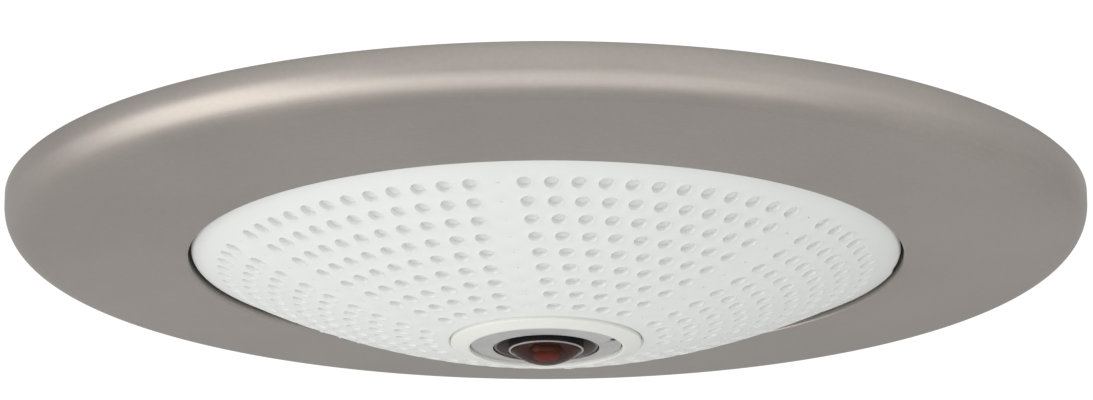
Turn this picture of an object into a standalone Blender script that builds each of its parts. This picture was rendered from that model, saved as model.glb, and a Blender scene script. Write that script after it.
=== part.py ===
"""Recessed hemispheric ceiling camera, modelled in metres.

+Z is up. The origin is the middle of the cut-out, in the ceiling's lower face: the trim ring and the
dome hang below it, and the clamps and the back of the camera stand in the ceiling above it.
"""
import math

import bmesh
import bpy

MM = 0.001
GAP = 0.3 * MM                      # left between pieces that touch

# Trim ring: a spun steel shell
RING_R = 122.5 * MM
RING_OPENING_R = 81.1 * MM
RING_WALL = 1.2 * MM
RING_EDGE = 3.0 * MM                # straight outer wall below the ceiling
RING_NOSE_R = 7.7 * MM
RING_SLOPE = math.radians(4.36)     # the face falls this much towards the opening
RING_LIP_R = 0.6 * MM
RING_COLLAR_TOP = -8.0 * MM
RING_STEPS = 64

# White front shell: z = -DEPTH + SLOPE r + CURVE r^2
DOME_DEPTH = 33.42 * MM
DOME_SLOPE = 0.0311
DOME_CURVE = 2.983
SHELL_R = 80.4 * MM
SHELL_WALL = 2.6 * MM
SHELL_ROUND = 1.2 * MM
SHELL_TOP = -2.0 * MM
SHELL_HOLE_R = 21.6 * MM
SHELL_STEPS = 64
LEDGE_R = 62.0 * MM
LEDGE_TOP = -9.0 * MM
LEDGE_THICK = 3.0 * MM

# Rear housing of the camera
HOUSING_R = 77.2 * MM
HOUSING_WALL = 2.4 * MM
HOUSING_BOTTOM = -7.4 * MM
HOUSING_TOP = 12.0 * MM             # the shoulder, which the hump stands on
HUMP_R = 49.0 * MM
HUMP_TOP = 21.0 * MM
HOUSING_SCREW_R = 71.0 * MM         # where its long screws stand
LUG_R = 82.0 * MM
LUG_Z = 4.0 * MM
LUG_THICK = 3.0 * MM
LUG_SPAN = math.radians(20)

# Mounting ring, which hangs in the ceiling cut-out, and the bayonet ring in it
MOUNT_R = 87.0 * MM
MOUNT_WALL = 2.0 * MM
MOUNT_TOP = 10.0 * MM
MOUNT_SKIRT = -9.0 * MM
FLANGE_R = 112.0 * MM
FLANGE_THICK = 2.5 * MM
TAB_R = 79.5 * MM
TAB_SPAN = math.radians(30)
BAYONET_R = 82.6 * MM
MOUNT_STEPS = 48
THIRDS = [math.radians(a) for a in (90, 210, 330)]      # bayonet tabs and ring clips

# Ceiling clamps
CLAMP_R = 94.0 * MM
CLAMP_ANGLES = [0.0, math.pi]
DOG_Z = 9.0 * MM                    # underside of the dogs at rest
DOG_ARM = 24.0 * MM
DOG_WIDTH = 8.0 * MM
DOG_THICK = 4.5 * MM
DOG_HUB_R = 5.5 * MM
DOG_HEIGHT = 7.0 * MM
SCREW_R = 1.9 * MM
SCREW_TOP = 25.0 * MM

# Lens: collar, bezel and funnel carry on the dome's curve round the barrel
COLLAR_R = 21.3 * MM
COLLAR_INNER_R = 17.3 * MM
COLLAR_FACE = -32.6 * MM            # its inner edge, and the outer edge of the bezel
COLLAR_FALL = 0.9 * MM              # the outer edge is this much higher
COLLAR_BACK = -27.0 * MM
BEZEL_R = 17.0 * MM
BEZEL_INNER_R = 12.0 * MM
BEZEL_FALL = 0.4 * MM
BEZEL_THICK = 1.5 * MM
FUNNEL_THROAT = -26.0 * MM
FUNNEL_BACK = -25.0 * MM
BARREL_R = 8.5 * MM
BARREL_FACE = -33.6 * MM
BARREL_BACK = -12.0 * MM
BARREL_BORE_R = 6.4 * MM
GLASS_R = 7.8 * MM
GLASS_SPHERE_R = 11.5 * MM
GLASS_SEAT = 1.4 * MM               # depth of the glass's seat in the barrel
HOLDER_FRONT = -23.0 * MM
HOLDER_R = 11.0 * MM

# Levels inside the camera
CHASSIS_Z = LEDGE_TOP + GAP
CHASSIS_THICK = 1.5 * MM
CHASSIS_R = 69.0 * MM
BOARD_Z = -1.0 * MM
BOARD_THICK = 1.6 * MM
BOARD_R = 64.0 * MM
BOARD_TOP = BOARD_Z + BOARD_THICK + GAP
READER_TOP = 15.0 * MM
CARD_LOW = 5.5 * MM
SWITCH_TOP = 11.2 * MM

# Where things stand on the boards: x and y of each
SOCKET_XY = (-25.0 * MM, -6.0 * MM)
READER_XY = (0.0, -32.0 * MM)
KEY_XY = (20.0 * MM, -28.0 * MM)
VENT_XY = (-22.0 * MM, 26.0 * MM)
CHIP_XY = (14.0 * MM, 8.0 * MM)
SPEAKER_XY = (0.0, 42.0 * MM)
HOUSING_SCREW_ANGLES = [math.radians(a) for a in (30, 150, 270)]
STANDOFF_ANGLES = [math.radians(a) for a in (25, 155, 265)]
STANDOFF_R = 55.0 * MM


def clear_scene():
    """Remove whatever the file starts with."""
    for obj in list(bpy.data.objects):
        bpy.data.objects.remove(obj, do_unlink=True)


def finish(name, colour, roughness, metallic):
    """A Principled material of one colour."""
    material = bpy.data.materials.new(name)
    material.use_nodes = True
    shader = material.node_tree.nodes["Principled BSDF"]
    shader.inputs["Base Color"].default_value = (*colour, 1.0)
    shader.inputs["Roughness"].default_value = roughness
    shader.inputs["Metallic"].default_value = metallic
    return material


def place(name, bm, material, location=(0, 0, 0), turn=0.0):
    """Make an object of a finished bmesh, with its faces outwards and its round sides smooth."""
    bmesh.ops.remove_doubles(bm, verts=bm.verts, dist=1e-7)
    bmesh.ops.recalc_face_normals(bm, faces=bm.faces)
    mesh = bpy.data.meshes.new(name)
    bm.to_mesh(mesh)
    bm.free()
    mesh.shade_smooth()
    mesh.set_sharp_from_angle(angle=math.radians(30))
    mesh.materials.append(material)
    obj = bpy.data.objects.new(name, mesh)
    obj.location = location
    obj.rotation_euler = (0, 0, turn)
    bpy.context.scene.collection.objects.link(obj)
    return obj


def turned_bmesh(outline, steps, closed=True):
    """Spin an (r, z) outline round Z. An open outline starts and ends on the axis."""
    bm = bmesh.new()
    verts = [bm.verts.new((r, 0, z)) for r, z in outline]
    ends = verts[1:] + verts[:1] if closed else verts[1:]
    edges = [bm.edges.new(pair) for pair in zip(verts, ends)]
    bmesh.ops.spin(bm, geom=verts + edges, cent=(0, 0, 0), axis=(0, 0, 1), steps=steps,
                   angle=2 * math.pi, use_merge=True)
    return bm


def turned(name, outline, steps, material, location=(0, 0, 0), closed=True):
    """A turned piece."""
    return place(name, turned_bmesh(outline, steps, closed), material, location)


def tube(r_in, r_out, low, high):
    """Outline of a plain ring."""
    return [(r_in, low), (r_out, low), (r_out, high), (r_in, high)]


def rod(radius, low, high):
    """Outline of a plain cylinder, from axis to axis."""
    return [(0, low), (radius, low), (radius, high), (0, high)]


def arc(centre, radius, start, end, count):
    """Points on an arc in the (r, z) plane, angles in degrees."""
    angles = [math.radians(start + (end - start) * i / count) for i in range(count + 1)]
    return [(centre[0] + radius * math.cos(a), centre[1] + radius * math.sin(a)) for a in angles]


def prism_bmesh(points, low, high):
    """Raise a flat (x, y) polygon from z = low to z = high."""
    bm = bmesh.new()
    face = bm.faces.new([bm.verts.new((x, y, low)) for x, y in points])
    raised = bmesh.ops.extrude_face_region(bm, geom=[face])["geom"]
    tops = [item for item in raised if isinstance(item, bmesh.types.BMVert)]
    bmesh.ops.translate(bm, verts=tops, vec=(0, 0, high - low))
    return bm


def prism(name, points, low, high, material, location=(0, 0, 0)):
    """A piece of one flat outline."""
    return place(name, prism_bmesh(points, low, high), material, location)


def rectangle(width, depth, x=0.0, y=0.0):
    """Corners of a rectangle centred on x, y."""
    w, d = width / 2, depth / 2
    return [(x - w, y - d), (x + w, y - d), (x + w, y + d), (x - w, y + d)]


def disc(radius, steps, turn=0.0):
    """Corners of a regular polygon."""
    angles = [turn + 2 * math.pi * i / steps for i in range(steps)]
    return [(radius * math.cos(a), radius * math.sin(a)) for a in angles]


def sector(r_in, r_out, middle, span, steps=4):
    """Corners of a piece of a ring, seen from above."""
    angles = [middle - span / 2 + span * i / steps for i in range(steps + 1)]
    outer = [(r_out * math.cos(a), r_out * math.sin(a)) for a in angles]
    inner = [(r_in * math.cos(a), r_in * math.sin(a)) for a in reversed(angles)]
    return outer + inner


def polar(radius, angle):
    """x and y of a point at an angle."""
    return radius * math.cos(angle), radius * math.sin(angle)


def shape_with(obj, tool_bmesh, operation, location=(0, 0, 0)):
    """Cut a bmesh from an object, or join it on, with an exact Boolean."""
    tool = place(f"tool_{obj.name}_{len(obj.modifiers)}", tool_bmesh, obj.data.materials[0], location)
    tool.hide_render = True
    tool.display_type = "WIRE"
    modifier = obj.modifiers.new(operation.lower(), "BOOLEAN")
    modifier.operation = operation
    modifier.object = tool
    return obj


def drill(obj, radius, x, y, low, high, steps=16):
    """Drill a round hole along Z, turned a little so that none of its corners meets an edge."""
    return shape_with(obj, prism_bmesh(disc(radius, steps, 0.1), low, high), "DIFFERENCE", (x, y, 0))


def dome_z(r):
    """Height of the front shell's outer face."""
    return -DOME_DEPTH + DOME_SLOPE * r + DOME_CURVE * r * r


# ---------------------------------------------------------------- trim ring

def trim_ring(steel):
    """The spun ring: outer wall, round nose, sloping face and a collar turned up at the opening."""
    nose = (RING_R - RING_NOSE_R, -RING_EDGE)
    slope = math.degrees(RING_SLOPE)
    fall = math.tan(RING_SLOPE)
    start = arc(nose, RING_NOSE_R, 0, slope - 90, 1)[-1]
    lip_r = RING_OPENING_R + RING_LIP_R
    lip_z = start[1] - (start[0] - lip_r) * fall + RING_LIP_R / math.cos(RING_SLOPE)
    front = [(RING_R, 0), *arc(nose, RING_NOSE_R, 0, slope - 90, 7),
             *arc((lip_r, lip_z), RING_LIP_R, slope - 90, -180, 2), (RING_OPENING_R, RING_COLLAR_TOP)]
    inner_r = RING_OPENING_R + RING_WALL
    inner_z = start[1] - (start[0] - inner_r) * fall + RING_WALL / math.cos(RING_SLOPE)
    back = [(inner_r, RING_COLLAR_TOP), (inner_r, inner_z),
            *arc(nose, RING_NOSE_R - RING_WALL, slope - 90, 0, 3), (RING_R - RING_WALL, 0)]
    return turned("trim_ring", front + back, RING_STEPS, steel)


def ring_clip(index, angle, steel):
    """A leaf clip on the back of the ring, whose bent leaf grips the mounting ring's skirt."""
    leaf, foot = MOUNT_R + GAP, MOUNT_R + 9 * MM
    low, high, sheet = -10.6 * MM, -3.4 * MM, 0.8 * MM
    side = [(leaf, low), (foot, low), (foot, low + sheet), (leaf + sheet, low + sheet),
            (leaf + sheet, high - 1.6 * MM), (leaf + 2.2 * MM, high), (leaf + 1.4 * MM, high + 0.4 * MM),
            (leaf, high - 1.4 * MM)]
    bm = bmesh.new()
    half = 6 * MM
    face = bm.faces.new([bm.verts.new((r, -half, z)) for r, z in side])
    raised = bmesh.ops.extrude_face_region(bm, geom=[face])["geom"]
    ends = [item for item in raised if isinstance(item, bmesh.types.BMVert)]
    bmesh.ops.translate(bm, verts=ends, vec=(0, 2 * half, 0))
    return place(f"ring_clip_{index}", bm, steel, turn=angle)


# ---------------------------------------------------------------- mounting ring

def mounting_ring(plastic):
    """The ring in the cut-out: a wall, a flange under the ceiling and a skirt for the ring's clips."""
    inner = MOUNT_R - MOUNT_WALL
    outline = [(inner, MOUNT_SKIRT), (MOUNT_R, MOUNT_SKIRT), (MOUNT_R, -FLANGE_THICK),
               (FLANGE_R, -FLANGE_THICK), (FLANGE_R, 0), (MOUNT_R, 0), (MOUNT_R, MOUNT_TOP), (inner, MOUNT_TOP)]
    ring = turned("mounting_ring", outline, MOUNT_STEPS, plastic)
    for angle in CLAMP_ANGLES:
        drill(ring, SCREW_R + 0.4 * MM, *polar(CLAMP_R, angle), -2 * FLANGE_THICK, FLANGE_THICK)
    return ring


def bayonet_ring(steel):
    """The ring that carries the camera: three tabs, each with a stop near its end.

    The ring starts as thick as a tab is deep. The way of the camera's lugs is then cut above the
    tabs, and the gaps that the lugs pass up through are cut between them.
    """
    low, tab_top, high = LUG_Z - 4.3 * MM, LUG_Z - GAP, LUG_Z + LUG_THICK + 2 * MM
    ring = turned("bayonet_ring", tube(TAB_R, MOUNT_R - MOUNT_WALL - GAP, low, high), MOUNT_STEPS, steel)
    third = math.radians(120)
    stop_span = math.radians(3)
    stop_start = LUG_SPAN / 2 + GAP / TAB_R
    for angle in THIRDS:
        way_middle = angle + stop_start + stop_span / 2 + third / 2
        way = sector(TAB_R - 2 * MM, BAYONET_R, way_middle, third - stop_span, 24)
        shape_with(ring, prism_bmesh(way, tab_top, high + MM), "DIFFERENCE")
        gap = sector(TAB_R - 3 * MM, BAYONET_R - GAP, angle + third / 2, third - TAB_SPAN, 18)
        shape_with(ring, prism_bmesh(gap, low - MM, tab_top + MM), "DIFFERENCE")
    return ring


def pan_screw(name, shank_r, head_r, head_low, head_high, tip, steps, steel, location):
    """A screw along Z: the head's underside is at head_low, and the tip above or below it."""
    if tip < head_low:
        outline = [(0, tip), (shank_r, tip), (shank_r, head_low), (head_r, head_low),
                   (head_r, head_high - 0.5 * MM), (head_r - 0.8 * MM, head_high), (0, head_high)]
    else:
        outline = [(0, head_low), (head_r - 0.8 * MM, head_low), (head_r, head_low + 0.5 * MM),
                   (head_r, head_high), (shank_r, head_high), (shank_r, tip), (0, tip)]
    return turned(name, outline, steps, steel, location, closed=False)


# ---------------------------------------------------------------- clamps

def clamp(index, angle, steel, plastic):
    """One clamp: a screw through the flange, a nut on it and a dog that swings on the nut.

    At rest the dog lies along the ring, so that it passes the cut-out, and it swings outwards as the
    screw is tightened.
    """
    x, y = polar(CLAMP_R, angle)
    head_top = -FLANGE_THICK - GAP
    pan_screw(f"clamp_screw_{index}", SCREW_R, 4.0 * MM, head_top - 3 * MM, head_top, SCREW_TOP, 16,
              steel, (x, y, 0))
    floor, top, neck = DOG_Z + 2 * MM, DOG_Z + DOG_HEIGHT, 3.4 * MM
    nut = [(SCREW_R + GAP, floor), (neck, floor), (neck, top), (4.6 * MM, top), (4.6 * MM, top + 2 * MM),
           (SCREW_R + GAP, top + 2 * MM)]
    turned(f"clamp_nut_{index}", nut, 12, steel, (x, y, 0))
    bore, seat = SCREW_R + 0.5 * MM, neck + GAP
    hub = [(bore, DOG_Z), (DOG_HUB_R, DOG_Z), (DOG_HUB_R, top - GAP), (seat, top - GAP),
           (seat, floor - GAP), (bore, floor - GAP)]
    dog = turned(f"clamp_dog_{index}", hub, 16, plastic, (x, y, 0))
    tucked = angle - math.pi / 2
    arm = [(DOG_HUB_R - MM, -DOG_WIDTH / 2), (DOG_ARM, -DOG_WIDTH / 2), (DOG_ARM, DOG_WIDTH / 2),
           (DOG_HUB_R - MM, DOG_WIDTH / 2)]
    shape_with(dog, prism_bmesh(arm, DOG_Z + GAP, DOG_Z + DOG_THICK), "UNION", (x, y, 0))
    dog.modifiers[-1].object.rotation_euler = (0, 0, tucked)


# ---------------------------------------------------------------- camera casing

def front_shell(white):
    """The domed front: its face, rim wall, and a ledge inside that the chassis stands on."""
    inner = SHELL_R - SHELL_WALL + 0.2 * MM
    count, back_count = 5, 3
    last = SHELL_R - SHELL_ROUND
    radii = [SHELL_HOLE_R + (last - SHELL_HOLE_R) * i / count for i in range(count + 1)]
    rim_z = dome_z(last) + SHELL_ROUND * 1.05
    rim = arc((last, rim_z), SHELL_ROUND, -65, 0, 2)
    back_r = 73.6 * MM
    back = [SHELL_HOLE_R + (back_r - SHELL_HOLE_R) * i / back_count for i in range(back_count + 1)]
    ledge_low = LEDGE_TOP - LEDGE_THICK
    outline = [*[(r, dome_z(r)) for r in radii], *rim[1:], (SHELL_R, SHELL_TOP), (inner, SHELL_TOP),
               (inner, LEDGE_TOP), (LEDGE_R, LEDGE_TOP), (LEDGE_R, ledge_low), (back_r, ledge_low),
               *[(r, dome_z(r) + SHELL_WALL) for r in reversed(back)]]
    shell = turned("front_shell", outline, SHELL_STEPS, white)
    for angle in HOUSING_SCREW_ANGLES:
        drill(shell, 1.9 * MM, *polar(HOUSING_SCREW_R, angle), ledge_low - MM, LEDGE_TOP + MM, 12)
    return shell


def rear_housing(plastic):
    """The cup behind the front shell, with a hump for the sockets and lugs for the bayonet."""
    inner, wall, shoulder = HOUSING_R - HOUSING_WALL, HOUSING_WALL, 1.5 * MM
    outline = [(0, HUMP_TOP - wall), (HUMP_R - wall, HUMP_TOP - wall), (HUMP_R - wall, HOUSING_TOP - wall),
               (inner, HOUSING_TOP - wall), (inner, HOUSING_BOTTOM), (HOUSING_R, HOUSING_BOTTOM),
               (HOUSING_R, HOUSING_TOP - shoulder), (HOUSING_R - shoulder, HOUSING_TOP),
               (HUMP_R, HOUSING_TOP), (HUMP_R, HUMP_TOP - shoulder), (HUMP_R - shoulder, HUMP_TOP), (0, HUMP_TOP)]
    housing = turned("rear_housing", outline, MOUNT_STEPS, plastic, closed=False)
    for angle in THIRDS:
        lug = prism_bmesh(sector(HOUSING_R - MM, LUG_R, angle, LUG_SPAN), LUG_Z, LUG_Z + LUG_THICK)
        shape_with(housing, lug, "UNION")
    low, high = HUMP_TOP - 5 * MM, HUMP_TOP + 2 * MM
    shape_with(housing, prism_bmesh(rectangle(17 * MM, 15 * MM, *SOCKET_XY), low, high), "DIFFERENCE")
    shape_with(housing, prism_bmesh(rectangle(14 * MM, 3.6 * MM, *READER_XY), low, high), "DIFFERENCE")
    drill(housing, 2.3 * MM, *KEY_XY, low, high)
    drill(housing, 3.3 * MM, *VENT_XY, low, high)
    for angle in HOUSING_SCREW_ANGLES:
        drill(housing, 1.9 * MM, *polar(HOUSING_SCREW_R, angle), HOUSING_TOP - 5 * MM, HOUSING_TOP + MM, 12)
    return housing


def casing_small_parts(steel, rubber, plastic):
    """The casing's gasket, long screws and breather plug."""
    gasket_low = LEDGE_TOP + GAP
    turned("housing_gasket", tube(73.5 * MM, 77.0 * MM, gasket_low, HOUSING_BOTTOM - GAP), MOUNT_STEPS,
           rubber)
    head = HOUSING_TOP + GAP
    for index, angle in enumerate(HOUSING_SCREW_ANGLES, 1):
        pan_screw(f"housing_screw_{index}", 1.5 * MM, 3.0 * MM, head, head + 2.2 * MM,
                  LEDGE_TOP - 2.5 * MM, 12, steel, (*polar(HOUSING_SCREW_R, angle), 0))
    seat = HUMP_TOP + GAP
    plug = [(0, HUMP_TOP - 4 * MM), (3.0 * MM, HUMP_TOP - 4 * MM), (3.0 * MM, seat), (5.0 * MM, seat),
            (5.0 * MM, seat + MM), (3.8 * MM, seat + 2 * MM), (0, seat + 2 * MM)]
    turned("vent_plug", plug, 16, plastic, (*VENT_XY, 0), closed=False)


def chassis_plate(steel):
    """The plate on the shell's ledge that carries lens, boards and loudspeaker."""
    top = CHASSIS_Z + CHASSIS_THICK
    plate = turned("chassis_plate", tube(12.0 * MM, CHASSIS_R, CHASSIS_Z, top), 48, steel)
    drill(plate, 10.0 * MM, *SPEAKER_XY, CHASSIS_Z - MM, top + MM, 24)
    return plate


# ---------------------------------------------------------------- lens

def lens_rings(white, metal, dark):
    """Collar, bezel and the dark funnel, one inside the other."""
    collar = [(COLLAR_INNER_R, COLLAR_FACE), (COLLAR_R, COLLAR_FACE + COLLAR_FALL),
              (COLLAR_R, COLLAR_BACK), (COLLAR_INNER_R, COLLAR_BACK)]
    turned("lens_collar", collar, 40, white)
    bezel_low, bezel_back = COLLAR_FACE - BEZEL_FALL, COLLAR_FACE + BEZEL_THICK
    bezel = [(BEZEL_INNER_R, bezel_low), (BEZEL_R, COLLAR_FACE), (BEZEL_R, bezel_back),
             (BEZEL_INNER_R, bezel_back)]
    turned("lens_bezel", bezel, 40, metal)
    mouth, throat, skin = BEZEL_INNER_R - GAP, BARREL_R + GAP, 1.0 * MM
    funnel = [(throat, FUNNEL_THROAT), (mouth - skin / 2, COLLAR_FACE), (mouth, COLLAR_FACE),
              (mouth, FUNNEL_THROAT - 3 * MM), (throat + skin, FUNNEL_BACK), (throat, FUNNEL_BACK)]
    turned("lens_funnel", funnel, 32, dark)


def lens_barrel(metal):
    """The barrel: a rim round the front glass and a stepped bore for the elements behind it."""
    seat_r, seat_z = GLASS_R + GAP / 2, BARREL_FACE + GLASS_SEAT
    outline = [(seat_r, BARREL_FACE), (BARREL_R, BARREL_FACE), (BARREL_R, BARREL_BACK),
               (BARREL_BORE_R, BARREL_BACK), (BARREL_BORE_R, seat_z), (seat_r, seat_z)]
    turned("lens_barrel", outline, 32, metal)


def lens_elements(glass, dark):
    """The domed front glass, a retaining ring, a middle element, an aperture ring and a rear element."""
    centre_z = BARREL_FACE + math.sqrt(GLASS_SPHERE_R ** 2 - GLASS_R ** 2)
    edge = math.degrees(math.asin(GLASS_R / GLASS_SPHERE_R))
    cap = arc((0, centre_z), GLASS_SPHERE_R, -90, edge - 90, 5)
    back_z = BARREL_FACE + GLASS_SEAT - GAP
    hollow = arc((0, back_z - 1.2 * MM), 6.0 * MM, 15, 90, 3)
    front = [(0.0, cap[0][1]), *cap[1:], (GLASS_R, back_z), (6.3 * MM, back_z)]
    bowl = [(r * 0.85, back_z - 2.2 * MM * math.sin((1 - r / (6.0 * MM)) * math.pi / 2)) for r, _ in hollow]
    turned("front_glass", [*front, *bowl[:-1], (0.0, bowl[-1][1])], 32, glass, closed=False)
    edge_r, keeper_back = BARREL_BORE_R - GAP, -29.4 * MM
    keeper = [(4.3 * MM, -30.0 * MM), (edge_r, -31.6 * MM), (edge_r, keeper_back), (4.3 * MM, keeper_back)]
    turned("retaining_ring", keeper, 24, dark)
    inner = [(0.0, -30.2 * MM), (2.4 * MM, -29.8 * MM), (4.4 * MM, -28.8 * MM), (edge_r, -27.4 * MM),
             (edge_r, -26.2 * MM), (0.0, -26.2 * MM)]
    turned("inner_lens", inner, 24, glass, closed=False)
    turned("aperture_ring", tube(2.2 * MM, edge_r, -25.9 * MM, -24.9 * MM), 24, dark)
    rear = [(0.0, -22.0 * MM), (3.2 * MM, -21.6 * MM), (edge_r, -20.0 * MM), (edge_r, -18.0 * MM),
            (0.0, -16.8 * MM)]
    turned("rear_lens", rear, 24, glass, closed=False)


def lens_holder(dark):
    """The tube round the barrel and the flange that it stands on the chassis with."""
    flange = CHASSIS_Z + CHASSIS_THICK + GAP
    bore = BARREL_R + GAP
    holder = turned("lens_holder", tube(bore, HOLDER_R, HOLDER_FRONT, flange + MM), 32, dark)
    plate = prism_bmesh(rectangle(36 * MM, 36 * MM), flange, flange + 1.8 * MM)
    shape_with(holder, plate, "UNION")
    shape_with(holder, prism_bmesh(rectangle(14.6 * MM, 14.6 * MM), flange - 1.5 * MM, flange + 3 * MM),
               "DIFFERENCE")
    return flange + 1.8 * MM


# ---------------------------------------------------------------- electronics

def boards(green, dark, metal, holder_top):
    """Sensor board with its sensor, main board, processor and finned heat spreader."""
    low = holder_top + GAP
    prism("sensor_board", rectangle(36 * MM, 36 * MM), low, low + BOARD_THICK, green)
    prism("image_sensor", rectangle(14 * MM, 14 * MM), low - GAP - 1.2 * MM, low - GAP, dark)
    main = prism("main_board", disc(BOARD_R, 48), BOARD_Z, BOARD_Z + BOARD_THICK, green)
    for angle in STANDOFF_ANGLES:
        drill(main, 1.6 * MM, *polar(STANDOFF_R, angle), BOARD_Z - MM, BOARD_Z + 3 * MM, 12)
    chip_top = BOARD_TOP + 2.2 * MM
    x, y = CHIP_XY
    prism("processor", rectangle(20 * MM, 20 * MM, x, y), BOARD_TOP, chip_top, dark)
    sink = prism("heat_spreader", rectangle(30 * MM, 30 * MM, x, y), chip_top + GAP, chip_top + 12 * MM,
                 metal)
    for step in range(-2, 3):
        slot = rectangle(3.0 * MM, 32 * MM, x + 5.6 * MM * step, y)
        shape_with(sink, prism_bmesh(slot, chip_top + 2.5 * MM, chip_top + 14 * MM), "DIFFERENCE")


def board_fixings(brass, steel):
    """Hexagon standoffs on the chassis, and the screws that hold the main board on them."""
    foot = CHASSIS_Z + CHASSIS_THICK + GAP
    for index, angle in enumerate(STANDOFF_ANGLES, 1):
        x, y = polar(STANDOFF_R, angle)
        post = prism(f"board_standoff_{index}", disc(3.2 * MM, 6), foot, BOARD_Z - GAP, brass, (x, y, 0))
        drill(post, 1.6 * MM, x, y, BOARD_Z - 6 * MM, BOARD_Z + MM, 12)
        pan_screw(f"board_screw_{index}", 1.2 * MM, 2.6 * MM, BOARD_TOP, BOARD_TOP + 1.8 * MM,
                  BOARD_Z - 5 * MM, 12, steel, (x, y, 0))


def connectors(dark, metal, steel):
    """Network socket, card reader with its card, and the reset key on its switch."""
    x, y = SOCKET_XY
    socket = prism("network_socket", rectangle(16 * MM, 14 * MM), BOARD_TOP, HUMP_TOP, metal, (x, y, 0))
    shape_with(socket, prism_bmesh(rectangle(11.8 * MM, 8.4 * MM), BOARD_TOP + 4 * MM, HUMP_TOP + MM),
               "DIFFERENCE", (x, y, 0))
    x, y = READER_XY
    reader = prism("card_reader", rectangle(15 * MM, 5 * MM), BOARD_TOP, READER_TOP, steel, (x, y, 0))
    shape_with(reader, prism_bmesh(rectangle(11.8 * MM, 1.8 * MM), BOARD_TOP + 2.5 * MM, READER_TOP + MM),
               "DIFFERENCE", (x, y, 0))
    prism("memory_card", rectangle(11.0 * MM, 1.0 * MM), CARD_LOW, HUMP_TOP - 0.5 * MM, dark,
          (x, y, 0))
    x, y = KEY_XY
    low, collar, top = SWITCH_TOP + 0.8 * MM, HUMP_TOP - 6 * MM, HUMP_TOP + 0.9 * MM
    prism("key_switch", rectangle(6 * MM, 6 * MM), BOARD_TOP, SWITCH_TOP, metal, (x, y, 0))
    key = [(0, low), (1.6 * MM, low), (1.6 * MM, collar), (3.2 * MM, collar), (3.2 * MM, collar + 1.4 * MM),
           (1.9 * MM, collar + 1.4 * MM), (1.9 * MM, top - 0.4 * MM), (1.5 * MM, top), (0, top)]
    turned("reset_key", key, 12, dark, (x, y, 0), closed=False)


def sound(dark, metal, paper):
    """Loudspeaker basket, magnet and cone under the chassis, and the microphone capsule."""
    x, y = SPEAKER_XY
    top = CHASSIS_Z - GAP
    basket = [(16.2 * MM, -15.0 * MM), (18.0 * MM, -15.0 * MM), (18.0 * MM, top), (9.6 * MM, top),
              (9.6 * MM, top - 1.4 * MM), (16.2 * MM, top - 1.4 * MM)]
    turned("speaker_frame", basket, 24, dark, (x, y, 0))
    turned("speaker_magnet", rod(9.2 * MM, -10.3 * MM, -1.6 * MM), 24, metal, (x, y, 0), closed=False)
    cone = [(0, -11.6 * MM), (5.0 * MM, -11.6 * MM), (14.5 * MM, -14.2 * MM), (15.8 * MM, -14.2 * MM),
            (15.8 * MM, -13.6 * MM), (14.6 * MM, -13.6 * MM), (5.1 * MM, -11.0 * MM), (0, -11.0 * MM)]
    turned("speaker_cone", cone, 24, paper, (x, y, 0), closed=False)
    turned("microphone", rod(4.8 * MM, -14.0 * MM, top), 20, metal, (-46 * MM, 0, 0), closed=False)


def main():
    """Build every piece."""
    clear_scene()
    ring_steel = finish("brushed_ring", (0.50, 0.47, 0.44), 0.38, 1.0)
    white = finish("white_shell", (0.86, 0.88, 0.87), 0.5, 0.0)
    zinc = finish("zinc_steel", (0.62, 0.63, 0.64), 0.4, 1.0)
    silver = finish("silver_bezel", (0.66, 0.66, 0.66), 0.35, 1.0)
    grey = finish("grey_plastic", (0.30, 0.31, 0.32), 0.6, 0.0)
    black = finish("black_plastic", (0.03, 0.03, 0.03), 0.5, 0.0)
    rubber = finish("black_rubber", (0.02, 0.02, 0.02), 0.8, 0.0)
    brass = finish("brass", (0.70, 0.54, 0.25), 0.35, 1.0)
    green = finish("board", (0.03, 0.22, 0.10), 0.5, 0.0)
    glass = finish("lens_glass", (0.10, 0.03, 0.02), 0.05, 0.0)
    barrel_metal = finish("barrel_metal", (0.12, 0.10, 0.09), 0.35, 1.0)

    trim_ring(ring_steel)
    for index, angle in enumerate(THIRDS, 1):
        ring_clip(index, angle, zinc)
    mounting_ring(grey)
    bayonet_ring(zinc)
    for index, angle in enumerate(CLAMP_ANGLES, 1):
        clamp(index, angle, zinc, black)
    front_shell(white)
    rear_housing(grey)
    casing_small_parts(zinc, rubber, black)
    chassis_plate(zinc)
    lens_rings(white, silver, black)
    lens_barrel(barrel_metal)
    lens_elements(glass, black)
    holder_top = lens_holder(black)
    boards(green, black, silver, holder_top)
    board_fixings(brass, zinc)
    connectors(black, silver, zinc)
    sound(black, silver, grey)


main()
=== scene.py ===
"""Looks of a recessed hemispheric ceiling camera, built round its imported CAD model.

The frame is in metres with +Z up. The lens axis is Z, and the ceiling's lower face is z = 0.
"""
import logging
import math
from dataclasses import dataclass, field
from enum import Enum
from typing import Any, Sequence

import bpy
import numpy as np
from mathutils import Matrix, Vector
from mathutils.geometry import delaunay_2d_cdt


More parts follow.
